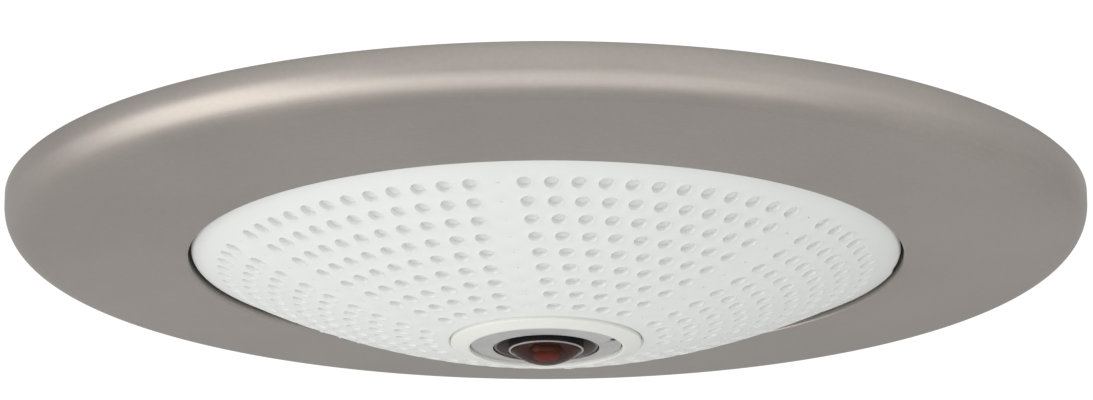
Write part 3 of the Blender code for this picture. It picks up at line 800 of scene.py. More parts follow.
@dataclass
class DimpledShell:
    """The white front: a dome whose rows of round dimples leave six plain bands.

    The dome's face is z = -depth + slope r + curve r^2. Row m holds 6 m places, evenly spaced, and
    lies at r = pitch m - inset. The six places on the bands' middle lines hold a small raised bar instead.
    """

    depth: float = 33.42 * MM
    slope: float = 0.0311
    curve: float = 2.983
    outer_r: float = 80.4 * MM
    hole_r: float = 21.6 * MM
    wall: float = 2.6 * MM
    rim_round: float = 1.2 * MM
    top: float = -2.0 * MM
    ledge_r: float = 62.0 * MM
    ledge_top: float = -9.0 * MM
    ledge_thick: float = 3.0 * MM
    pitch: float = 5.7164 * MM
    inset: float = 1.5664 * MM
    first_row: int = 5
    last_row: int = 13
    band_turn: float = math.radians(-8.2 - 90)
    seam: float = 0.3 * MM
    dimple_r: float = 1.62 * MM
    dimple_depth: float = 1.5 * MM
    bar_length: float = 0.95 * MM
    bar_width: float = 0.38 * MM
    bar_height: float = 0.2 * MM
    rib: float = 0.45 * MM
    rib_span: Spot = (math.radians(8), math.radians(38))
    bowl: tuple[Spot, ...] = ((1.2, 0.0), (1.08, -0.04), (0.97, 0.12), (0.88, 0.70), (0.55, 0.97))

    def height(self, r: np.ndarray) -> np.ndarray:
        """Height of the smooth face."""
        return -self.depth + self.slope * r + self.curve * r * r

    def raised(self, r: np.ndarray, angle: np.ndarray, proud: np.ndarray) -> np.ndarray:
        """Points a distance proud of the smooth face along its normal, as (x, y, z)."""
        rise = self.slope + 2 * self.curve * r
        length = np.sqrt(1 + rise * rise)
        out_r = r + proud * rise / length
        z = self.height(r) - proud / length
        return np.stack([out_r * np.cos(angle), out_r * np.sin(angle), z], axis=-1)

    def row(self, skin: Skin, m: int) -> tuple[np.ndarray, np.ndarray, float]:
        """One row of cells: each is a patch of 16 border points round the rings of a bowl.

        Args:
            skin: the mesh in the making.
            m: the row's number, a sixth of its places.

        Returns:
            Vertex numbers of the row's inner ring and outer ring, and the angle of their point 0.
        """
        places = 6 * m
        r = self.pitch * m - self.inset
        half = (self.pitch - self.seam) / 2
        start = self.band_turn - np.pi / places
        turn = start + 2 * np.pi * np.arange(4 * places) / (4 * places)
        zero = np.zeros_like(turn)
        inner = skin.points(self.raised(r - half + zero, turn, zero))
        outer = skin.points(self.raised(r + half + zero, turn, zero))
        side_turn = turn[::4][:, None] + np.zeros(3)
        side_r = r + half * np.array([-0.5, 0.0, 0.5]) + np.zeros((places, 1))
        sides = skin.points(self.raised(side_r, side_turn, np.zeros_like(side_r)))
        near, far = inner.reshape(-1, 4), outer.reshape(-1, 4)
        next_near, next_far, next_sides = (np.roll(part, -1, axis=0) for part in (near, far, sides))
        border = np.concatenate([near, next_near[:, :1], next_sides, next_far[:, :1], far[:, :0:-1],
                                 far[:, :1], sides[:, ::-1]], axis=1)
        middle = self.band_turn + 2 * np.pi * np.arange(places) / places
        is_bar = (np.arange(places) % m == 0)[:, None]
        around = np.radians(-135 + 22.5 * np.arange(16))
        loop = border
        for share, sink in self.bowl:
            along = share * np.where(is_bar, self.bar_length / 2, self.dimple_r)
            across = share * np.where(is_bar, self.bar_width / 2, self.dimple_r)
            proud = sink * np.where(is_bar, self.bar_height, -self.dimple_depth)
            ring_r = r + across * np.sin(around)
            ring_turn = middle[:, None] + along * np.cos(around) / r
            ring = skin.points(self.raised(ring_r, ring_turn, proud + np.zeros_like(ring_r)))
            skin.band(loop, ring)
            loop = ring
        deep = np.where(is_bar[:, 0], self.bar_height, -self.dimple_depth)
        tips = skin.points(self.raised(r + np.zeros(places), middle, deep))
        skin.fan(loop, tips)
        return inner, outer, start

    def turned(self, skin: Skin, outline: Outline, steps: int, start: float) -> np.ndarray:
        """Rings of a smooth stretch, joined to each other, as vertex numbers (outline, step).

        On the rim wall a low rib stands proud between the two angles of its span.
        """
        shape = spin(outline[:, 0], outline[:, 1], steps, start)
        angle = np.arctan2(shape[..., 1], shape[..., 0])
        low, high = self.rib_span
        ends = np.clip(np.minimum(angle - low, high - angle) / math.radians(1.5), 0, 1)
        on_wall = (outline[:, 0] > self.outer_r - 0.6 * MM) & (outline[:, 1] < self.top - 0.6 * MM)
        grow = 1 + ends * on_wall[:, None] * self.rib / self.outer_r
        shape[..., :2] *= grow[..., None]
        rings = skin.points(shape)
        skin.band(rings[:-1], rings[1:])
        return rings

    def build(self, finishes: Finishes) -> None:
        """Make the shell: face, rim, ledge and back, as one closed skin."""
        skin = Skin()
        rows = [self.row(skin, m) for m in range(self.first_row, self.last_row + 1)]
        for (_, outer, start), (inner, _, next_start) in zip(rows, rows[1:]):
            skin.zipper(outer, start, inner, next_start)
        first_inner, _, first_start = rows[0]
        _, last_outer, last_start = rows[-1]

        edge = self.outer_r - self.rim_round
        rim_z = float(self.height(np.array(edge))) + self.rim_round * 1.05
        last_edge = self.pitch * self.last_row - self.inset + self.pitch / 2
        near_r = np.linspace(last_edge + 0.4 * MM, edge, 5)[:-1]
        inner_wall, back_r, step_r, soft = 78.0 * MM, 73.6 * MM, 40.0 * MM, 0.5 * MM
        ledge_low = self.ledge_top - self.ledge_thick
        back = np.linspace(back_r, step_r, 7)
        outer_path = np.vstack([
            np.column_stack([near_r, self.height(near_r)]), arc((edge, rim_z), self.rim_round, -66, 0, 7),
            [(self.outer_r, self.top - 2 * soft), (self.outer_r - soft, self.top),
             (inner_wall + soft, self.top), (inner_wall, self.top - soft), (inner_wall, self.ledge_top),
             (self.ledge_r + soft, self.ledge_top), (self.ledge_r, self.ledge_top - soft),
             (self.ledge_r, ledge_low + soft), (self.ledge_r + soft, ledge_low)],
            np.column_stack([back, self.height(back) + self.wall])])
        outer_rings = self.turned(skin, outer_path, len(last_outer), last_start)
        skin.band(last_outer, outer_rings[0])

        hole_back = np.linspace(step_r - 6 * MM, self.hole_r, 4)
        hole_low = float(self.height(np.array(self.hole_r)))
        face_r = np.linspace(self.hole_r + soft, self.pitch * self.first_row - self.inset - self.pitch / 2
                             - 0.4 * MM, 4)
        inner_path = np.vstack([
            np.column_stack([hole_back, self.height(hole_back) + self.wall]),
            [(self.hole_r, hole_low + soft)],
            np.column_stack([face_r, self.height(face_r)])])
        inner_rings = self.turned(skin, inner_path, len(first_inner), first_start)
        skin.band(inner_rings[-1], first_inner)
        skin.zipper(outer_rings[-1], last_start, inner_rings[0], first_start)
        shell = skin.piece("dimpled_shell", sharp=38)
        dress(shell, finishes.shell, "front_shell")


# ------------------------------------------------------------------ lens

@dataclass
class LensGroup:
    """Collar, bezel, funnel, barrel and glass, one inside the other round the lens axis."""

    collar_r: float = 21.52 * MM
    collar_inner_r: float = 17.3 * MM
    collar_face: float = -32.6 * MM
    collar_fall: float = 0.9 * MM
    collar_back: float = -27.0 * MM
    lip: float = 0.35 * MM
    proud: float = 0.2 * MM
    bezel_r: float = 17.0 * MM
    bezel_inner_r: float = 12.0 * MM
    bezel_fall: float = 0.4 * MM
    bezel_sunk: float = 0.4 * MM
    bezel_thick: float = 1.5 * MM
    barrel_r: float = 8.5 * MM
    barrel_face: float = -33.6 * MM
    barrel_back: float = -12.0 * MM
    bore_r: float = 6.4 * MM
    seat_depth: float = 1.4 * MM
    glass_r: float = 7.8 * MM
    glass_sphere: float = 11.5 * MM
    hollow_r: float = 3.95 * MM
    hollow_base: float = -33.35 * MM
    hollow_apex: float = -35.4 * MM
    element_r: float = 6.1 * MM
    notch_turn: float = math.radians(342)
    notch_half: float = math.radians(4.6)
    notch_depth: float = 1.9 * MM
    bezel_steps: int = 384
    steps: int = 192

    def collar(self) -> bpy.types.Object:
        """The cream collar: it fills the shell's hole, and its inner lip stands below the bezel."""
        inner = self.collar_inner_r
        outline = [(inner, self.collar_face - self.lip), (inner + 0.7 * MM, self.collar_face - self.lip),
                   (self.collar_r, self.collar_face + self.collar_fall - self.proud),
                   (self.collar_r, self.collar_back), (inner, self.collar_back)]
        return lathe("collar_ring", rounded(outline, 0.22 * MM, 4), self.steps, sharp=60)

    def bezel(self) -> bpy.types.Object:
        """The silver ring. Its width shrinks inside a small notch: r falls by the notch's depth there."""
        back = self.collar_face + self.bezel_thick
        outline = rounded([(self.bezel_inner_r, self.collar_face - self.bezel_fall),
                           (self.bezel_r, self.collar_face + self.bezel_sunk), (self.bezel_r, back),
                           (self.bezel_inner_r, back)], 0.15 * MM)
        outline = counterclockwise(outline)
        shape = spin(outline[:, 0], outline[:, 1], self.bezel_steps)
        angle = 2 * np.pi * np.arange(self.bezel_steps) / self.bezel_steps
        past_edge = self.notch_half - np.abs(angle - self.notch_turn)
        inside = np.clip(past_edge / (0.35 * self.notch_half), 0, 1)
        smooth = inside * inside * (3 - 2 * inside)
        outer = np.clip((outline[:, 0] - 15.5 * MM) / (1.5 * MM), 0, 1)[:, None]
        shrink = 1 - smooth * outer * self.notch_depth / self.bezel_r
        shape[..., :2] *= shrink[..., None]
        skin = Skin()
        rings = skin.points(shape)
        skin.band(rings, np.roll(rings, -1, axis=0))
        return skin.piece("bezel_ring", sharp=35)

    def funnel(self) -> bpy.types.Object:
        """The dark cone between bezel and barrel, with fine glare-stopping steps on its face."""
        mouth, throat, skin_t = self.bezel_inner_r - GAP, self.barrel_r + GAP, 1.0 * MM
        top, bottom = -26.0 * MM, self.collar_face
        t = np.linspace(0, 1, 19)
        ripple = np.where(np.arange(19) % 2 == 1, 0.10 * MM, 0.0)
        face_r = mouth - skin_t * 0.5 + (throat - mouth + skin_t * 0.5) * t
        face = np.column_stack([face_r, bottom + (top - bottom) * t + ripple])
        rest = [(throat, -25.0 * MM), (throat + skin_t, -25.0 * MM), (mouth, -29.0 * MM), (mouth, bottom)]
        return lathe("funnel_cone", np.vstack([face, rest]), self.steps, sharp=50)

    def barrel(self) -> bpy.types.Object:
        """The barrel with a thin rim round the glass and a stepped bore."""
        seat_r, seat_z = self.glass_r + 0.15 * MM, self.barrel_face + self.seat_depth
        outline = [(seat_r, self.barrel_face), (self.barrel_r, self.barrel_face + 0.1 * MM),
                   (self.barrel_r, self.barrel_back), (self.bore_r, self.barrel_back), (self.bore_r, seat_z),
                   (seat_r, seat_z)]
        return lathe("barrel_tube", rounded(outline, 0.3 * MM, 4), self.steps, sharp=60)

    def hollow(self) -> bpy.types.Object:
        """The meniscus's coated inner surface and, round it, its blackened seat."""
        base, back, seat_r = self.hollow_base, self.hollow_base + 0.6 * MM, self.glass_r - 0.2 * MM
        a = np.radians(np.linspace(-90, 0, 20))
        cap = np.column_stack([self.hollow_r * np.cos(a), base + (base - self.hollow_apex) * np.sin(a)])
        outline = np.vstack([cap, [(seat_r, base), (seat_r, back), (0.0, back)]])
        outline[0, 0] = 0.0
        return lathe("glass_hollow", outline, 96, sharp=50)

    def front_glass(self) -> bpy.types.Object:
        """The domed meniscus: a sphere's cap in front and a flat seat behind."""
        centre_z = self.barrel_face + math.sqrt(self.glass_sphere ** 2 - self.glass_r ** 2)
        edge = math.degrees(math.asin(self.glass_r / self.glass_sphere))
        cap = arc((0, centre_z), self.glass_sphere, -90, edge - 90, 22)
        back_z = self.barrel_face + self.seat_depth - GAP
        outline = np.vstack([cap, [(self.glass_r, back_z), (0.0, back_z)]])
        outline[0, 0] = 0.0
        return lathe("glass_meniscus", outline, 128, sharp=50)

    def element(self, name: str, front: float, rim: float, back: float, bulge: float) -> bpy.types.Object:
        """A lens element: convex in front, a cylindrical edge and a gently convex back.

        Args:
            name: the piece's name.
            front: height of the front's middle.
            rim: height where the front meets the edge.
            back: height where the edge meets the back.
            bulge: how far the back's middle stands above that.

        Returns:
            The piece.
        """
        t = np.linspace(0, 1, 15) * np.pi / 2
        face = np.column_stack([self.element_r * np.sin(t), rim - (rim - front) * np.cos(t)])
        rear = np.column_stack([self.element_r * np.cos(t), back + bulge * np.sin(t)])
        rear[-1, 0] = 0.0
        return lathe(name, np.vstack([face, rear]), 96, sharp=50)

    def build(self, finishes: Finishes) -> None:
        """Make and dress every lens piece."""
        dress(self.collar(), finishes.collar, "lens_collar")
        dress(self.bezel(), finishes.bezel, "lens_bezel")
        dress(self.funnel(), finishes.funnel, "lens_funnel")
        dress(self.barrel(), finishes.barrel, "lens_barrel")
        dress(self.front_glass(), finishes.glass, "front_glass")
        dress(self.hollow(), finishes.inner_glass, "front_glass")
        edge_r, keeper_back = self.element_r, -29.4 * MM
        keeper = rounded([(4.3 * MM, -30.0 * MM), (edge_r, -31.6 * MM), (edge_r, keeper_back),
                          (4.3 * MM, keeper_back)], 0.12 * MM)
        ring = lathe("keeper_ring", keeper, 128, sharp=60)
        dress(ring, finishes.barrel, "retaining_ring")
        inner = self.element("inner_element", -30.2 * MM, -27.4 * MM, -26.2 * MM, 0.3 * MM)
        dress(inner, finishes.inner_glass, "inner_lens")
        rear = self.element("rear_element", -22.0 * MM, -20.0 * MM, -18.0 * MM, 1.0 * MM)
        dress(rear, finishes.inner_glass, "rear_lens")
        aperture = rounded(block(2.2 * MM, edge_r, -25.9 * MM, -24.9 * MM), 0.15 * MM)
        dress(lathe("aperture_disc", aperture, 96), finishes.black, "aperture_ring")


# ------------------------------------------------------------------ fasteners

@dataclass(frozen=True)
class Screw:
    """A pan-head machine screw along Z with a cross recess and a rolled thread.

    In its own frame the head faces +Z and the shank runs down from z = 0. The thread's radius is
    core + depth (1 - |2 frac(z / pitch - a / 2 pi) - 1|) at height z and angle a.
    """

    shank_r: float
    length: float
    head_r: float
    head_height: float
    pitch: float = 1.0 * MM
    steps: int = 32

    def head(self, skin: Skin) -> None:
        """A crowned head. Its face sinks by the recess's depth inside two crossed bars."""
        crown, soft = 0.25 * self.head_height, 0.3 * self.head_height
        share = np.linspace(0.06, 1.0, 18)
        radii = share * (self.head_r - soft)
        face = spin(radii, self.head_height - crown * share ** 2, 2 * self.steps)
        x, y = np.abs(face[..., 0]), np.abs(face[..., 1])
        long, wide = 0.52 * self.head_r, 0.13 * self.head_r
        bar = np.minimum(np.maximum(long - x, 0) / wide, np.maximum(wide - y, 0) / (0.5 * wide))
        other = np.minimum(np.maximum(long - y, 0) / wide, np.maximum(wide - x, 0) / (0.5 * wide))
        sunk = np.clip(np.maximum(bar, other), 0, 1) * 0.5 * self.head_height
        face[..., 2] -= sunk
        side = spin(np.array([self.head_r - 0.3 * soft, self.head_r, self.head_r, self.head_r - 0.1 * MM,
                              0.6 * self.shank_r]),
                    np.array([self.head_height - crown - 0.3 * soft, self.head_height - crown - soft,
                              0.1 * MM, 0.0, 0.0]), 2 * self.steps)
        rings = skin.points(np.concatenate([face, side]))
        skin.band(rings[1:], rings[:-1])
        tips = skin.points(np.array([[0, 0, 0.5 * self.head_height], [0, 0, 0.0]]))
        skin.fan(rings[0], tips[0])
        skin.fan(rings[-1], tips[1], inward=False)

    def shank(self, skin: Skin) -> None:
        """The threaded shank, with a chamfered tip."""
        depth = 0.28 * self.pitch
        rows = max(12, round(self.length / self.pitch * 10))
        z = np.linspace(-self.length, 0.2 * MM, rows)[:, None]
        a = 2 * np.pi * np.arange(self.steps) / self.steps
        phase = z / self.pitch - a / (2 * np.pi)
        ridge = 1 - np.abs(2 * (phase - np.floor(phase)) - 1)
        taper = np.clip((z + self.length) / self.pitch, 0, 1) * np.clip(-z / self.pitch, 0, 1)
        r = self.shank_r - depth + depth * ridge * taper
        grid = np.stack([r * np.cos(a), r * np.sin(a), z + 0 * a], axis=-1)
        rings = skin.points(grid)
        skin.band(rings[:-1], rings[1:])
        tips = skin.points(np.array([[0, 0, -self.length], [0, 0, 0.2 * MM]]))
        skin.fan(rings[0], tips[0], inward=False)
        skin.fan(rings[-1], tips[1])

    def build(self, name: str, x: float, y: float, seat: float, head_up: bool = True) -> bpy.types.Object:
        """Make the screw with the underside of its head at z = seat."""
        skin = Skin()
        self.head(skin)
        self.shank(skin)
        side = 1.0 if head_up else -1.0
        skin.blocks = [block * (1.0, side, side) + (x, y, seat) for block in skin.blocks]
        return skin.piece(name, sharp=50)


# ------------------------------------------------------------------ mount

@dataclass
class Mount:
    """What stays in the ceiling: flanged ring, bayonet ring and two screw clamps."""

    wall_r: float = 87.0 * MM
    wall: float = 2.0 * MM
    top: float = 10.0 * MM
    skirt: float = -9.0 * MM
    flange_r: float = 112.0 * MM
    flange: float = 2.5 * MM
    tab_r: float = 79.5 * MM
    tab_span: float = math.radians(30)
    bayonet_r: float = 82.6 * MM
    lug_z: float = 4.0 * MM
    lug_thick: float = 3.0 * MM
    lug_span: float = math.radians(20)
    clamp_r: float = 94.0 * MM
    screw_r: float = 1.9 * MM
    screw_top: float = 25.0 * MM
    dog_z: float = 9.0 * MM
    dog_height: float = 7.0 * MM

    def ring(self) -> bpy.types.Object:
        """Wall, drilled flange and the gussets under it."""
        inner = self.wall_r - self.wall
        wall = block(inner, self.wall_r, self.skirt, self.top)
        skin = Skin().ring(rounded(wall, 0.4 * MM), 256)
        holes = [circle(self.screw_r + 0.4 * MM, 32, side * self.clamp_r, turn=HOLE_TURN)
                 for side in (1, -1)]
        bore = circle(self.wall_r - 0.5 * self.wall, 256)
        skin.slab(circle(self.flange_r, 256), -self.flange, 0.0, [bore, *holes], 0.3 * MM)
        gusset = np.array([(self.wall_r - 0.5 * MM, self.skirt + MM), (self.wall_r + MM, self.skirt + MM),
                           (self.wall_r + 9 * MM, -self.flange + 0.2 * MM),
                           (self.wall_r - 0.5 * MM, -self.flange + 0.2 * MM)])
        ribs = Skin().slab(gusset, -0.7 * MM, 0.7 * MM, soft=0.15 * MM, segments=1)
        turns = [math.radians(7.5 + 15 * i) for i in range(24)]
        return skin.join(ribs.upright(*turns)).piece("flanged_ring")

    def bayonet(self) -> bpy.types.Object:
        """One band round the ring: at each angle its inner and tab radius say if a tab or stop is there."""
        low, tab_top, high = self.lug_z - 4.3 * MM, self.lug_z - GAP, self.lug_z + self.lug_thick + 2 * MM
        outer = self.wall_r - self.wall - GAP
        stop = self.lug_span / 2 + GAP / self.tab_r
        edges = [(third + edge) for third in THIRDS
                 for edge in (-self.tab_span / 2, self.tab_span / 2, stop, stop + math.radians(3))]
        flick = math.radians(0.06)
        beside = np.degrees(edges + np.array([[-flick], [flick]])).ravel()
        turns = np.unique(np.radians(np.concatenate([np.arange(0, 360, 1.25), beside]) % 360))
        from_tab = np.abs((turns[:, None] - np.array(THIRDS) + np.pi) % (2 * np.pi) - np.pi).min(axis=1)
        past_tab = ((turns[:, None] - np.array(THIRDS)) % (2 * np.pi)).min(axis=1)
        tab = np.where(from_tab < self.tab_span / 2, self.tab_r, self.bayonet_r - GAP)
        stopped = (past_tab > stop) & (past_tab < stop + math.radians(3))
        way = np.where(stopped, self.tab_r + 0.01 * MM, self.bayonet_r)
        full = np.full_like(turns, outer)
        radii = np.stack([full, full, way, way, tab, tab])
        heights = np.array([low, high, high, tab_top, tab_top, low])[:, None] + 0 * turns
        skin = Skin()
        rings = skin.points(np.stack([radii * np.cos(turns), radii * np.sin(turns), heights], axis=-1))
        skin.band(rings, np.roll(rings, -1, axis=0))
        return skin.piece("bayonet_band", sharp=30)

    def dog(self, x: float, tucked: float) -> Skin:
        """Hub, arm and the ribs on the arm of one clamp dog."""
        neck = 3.4 * MM + GAP
        floor, top = self.dog_z + 2 * MM - GAP, self.dog_z + self.dog_height - GAP
        bore, hub = self.screw_r + 0.5 * MM, 5.5 * MM
        outline = [(bore, self.dog_z), (hub, self.dog_z), (hub, top), (neck, top), (neck, floor),
                   (bore, floor)]
        skin = Skin().ring(rounded(outline, 0.3 * MM), 64, (x, 0.0))
        middle, side = 14.4 * MM, math.copysign(1.0, math.sin(tucked))
        arm = rectangle(8.0 * MM, 19.2 * MM, x, side * middle, 1.2 * MM, 4)
        skin.slab(arm, self.dog_z + GAP, self.dog_z + 3.0 * MM, soft=0.4 * MM)
        for shift in (-3.2, 0.0, 3.2):
            rib = rectangle(1.2 * MM, 18.0 * MM, x + shift * MM, side * (middle - 0.4 * MM), 0.5 * MM)
            skin.slab(rib, self.dog_z + 2 * MM, self.dog_z + 4.5 * MM, soft=0.3 * MM)
        return skin

    def clamp(self, index: int, side: int, finishes: Finishes) -> None:
        """Screw, nut and dog of one clamp."""
        x = side * self.clamp_r
        seat = -self.flange - GAP
        screw = Screw(self.screw_r, self.screw_top - seat, 4.0 * MM, 3.0 * MM, 2.0 * MM)
        bolt = screw.build(f"clamp_bolt_{index}", x, 0.0, seat, head_up=False)
        dress(bolt, finishes.screw, f"clamp_screw_{index}", Body(f"screw_{index}"))
        low, top = self.dog_z + 2 * MM, self.dog_z + self.dog_height
        neck, rim, bore = 3.4 * MM, 4.6 * MM, self.screw_r + GAP
        outline = [(bore, low), (neck, low), (neck, top), (rim, top), (rim, top + 2 * MM),
                   (bore, top + 2 * MM)]
        nut = Skin().ring(rounded(outline, 0.25 * MM), 64, (x, 0.0)).piece(f"clamp_collar_{index}")
        dress(nut, finishes.zinc, f"clamp_nut_{index}", Body(f"nut_{index}"))
        arm = self.dog(x, -side * math.pi / 2).piece(f"clamp_arm_{index}")
        dress(arm, finishes.black, f"clamp_dog_{index}", Body(f"dog_{index}"))

    def build(self, finishes: Finishes) -> None:
        """Make the mount."""
        dress(self.ring(), finishes.mount, "mounting_ring", Body.MOUNT)
        dress(self.bayonet(), finishes.zinc, "bayonet_ring", Body.MOUNT)
        for index, side in enumerate((1, -1), 1):
            self.clamp(index, side, finishes)


# ------------------------------------------------------------------ camera casing

@dataclass
class Housing:
    """The cup behind the shell: shoulder, hump with its openings, lugs, gasket, screws and plug."""

    outer_r: float = 77.2 * MM
    wall: float = 2.4 * MM
    bottom: float = -7.4 * MM
    top: float = 12.0 * MM
    hump_r: float = 49.0 * MM
    lug_r: float = 82.0 * MM
    lug_z: float = 4.0 * MM
    lug_thick: float = 3.0 * MM
    screw_r: float = 71.0 * MM
    screw_tip: float = -11.5 * MM
    vent: Spot = (-22.0 * MM, 26.0 * MM)
    screw_turns: tuple[float, ...] = tuple(math.radians(a) for a in (30, 150, 270))
    screw_hole_r: float = 1.9 * MM
    key_hole_r: float = 2.3 * MM
    vent_hole_r: float = 3.3 * MM
    gussets: int = 12

    def screw_places(self) -> list[Spot]:
        """x and y of the long screws."""
        return [(self.screw_r * math.cos(a), self.screw_r * math.sin(a)) for a in self.screw_turns]

    def cup(self) -> bpy.types.Object:
        """Walls, drilled shoulder, hump with its openings, lugs and gussets, each a closed part."""
        wall, outer = self.wall, self.outer_r
        shoulder_low, hump_low = self.top - wall, HUMP_TOP - wall
        skin = Skin().ring(block(outer - wall, outer, self.bottom, shoulder_low), 256)
        screw_holes = [circle(self.screw_hole_r, 32, x, y, HOLE_TURN) for x, y in self.screw_places()]
        bore = circle(self.hump_r - 0.5 * wall, 192)
        skin.slab(circle(outer, 256), shoulder_low, self.top, [bore, *screw_holes], 0.15 * MM, 1.5 * MM, 6)
        skin.ring(block(self.hump_r - wall, self.hump_r, shoulder_low, hump_low), 192)
        openings = [rectangle(17 * MM, 15 * MM, *SOCKET, 0.8 * MM),
                    rectangle(14 * MM, 3.6 * MM, *READER, 0.8 * MM),
                    circle(self.key_hole_r, 32, *KEY, HOLE_TURN),
                    circle(self.vent_hole_r, 32, *self.vent, HOLE_TURN)]
        skin.slab(circle(self.hump_r, 192), hump_low, HUMP_TOP, openings, 0.25 * MM, 1.5 * MM, 6)
        for turn in THIRDS:
            lug = sector(outer - MM, self.lug_r, turn, math.radians(20))
            skin.slab(lug, self.lug_z, self.lug_z + self.lug_thick, soft=0.3 * MM)
        root, foot, tip = self.hump_r - 0.5 * MM, self.top - 0.2 * MM, self.top + 5.5 * MM
        web = np.array([(root, foot), (self.hump_r + 6 * MM, foot), (self.hump_r + 0.4 * MM, tip),
                        (root, tip)])
        gussets = Skin().slab(web, -0.8 * MM, 0.8 * MM, soft=0.2 * MM)
        turns = [2 * math.pi * i / self.gussets for i in range(self.gussets)]
        return skin.join(gussets.upright(*turns)).piece("housing_cup", 50)

    def build(self, finishes: Finishes) -> None:
        """Make the casing's back."""
        dress(self.cup(), finishes.housing, "rear_housing")
        gasket = block(73.5 * MM, 77.0 * MM, -8.7 * MM, -7.7 * MM)
        seal = lathe("gasket_ring", rounded(gasket, 0.3 * MM), 256)
        dress(seal, finishes.rubber, "housing_gasket")
        seat = self.top + GAP
        screw = Screw(1.5 * MM, seat - self.screw_tip, 3.0 * MM, 2.2 * MM, 0.9 * MM)
        for index, (x, y) in enumerate(self.screw_places(), 1):
            long_screw = screw.build(f"long_screw_{index}", x, y, seat)
            dress(long_screw, finishes.screw, f"housing_screw_{index}")
        rest = HUMP_TOP + GAP
        low = HUMP_TOP - 4 * MM
        plug = [(0.0, low), (3.0 * MM, low), (3.0 * MM, rest), (5.0 * MM, rest), (5.0 * MM, rest + MM),
                (3.8 * MM, rest + 2 * MM), (1.6 * MM, rest + 2 * MM), (1.2 * MM, rest + 1.2 * MM),
                (0.0, rest + 1.2 * MM)]
        breather = lathe("breather_plug", rounded(plug, 0.2 * MM, open_ends=True), 96, self.vent)
        dress(breather, finishes.black, "vent_plug")


# ------------------------------------------------------------------ inside

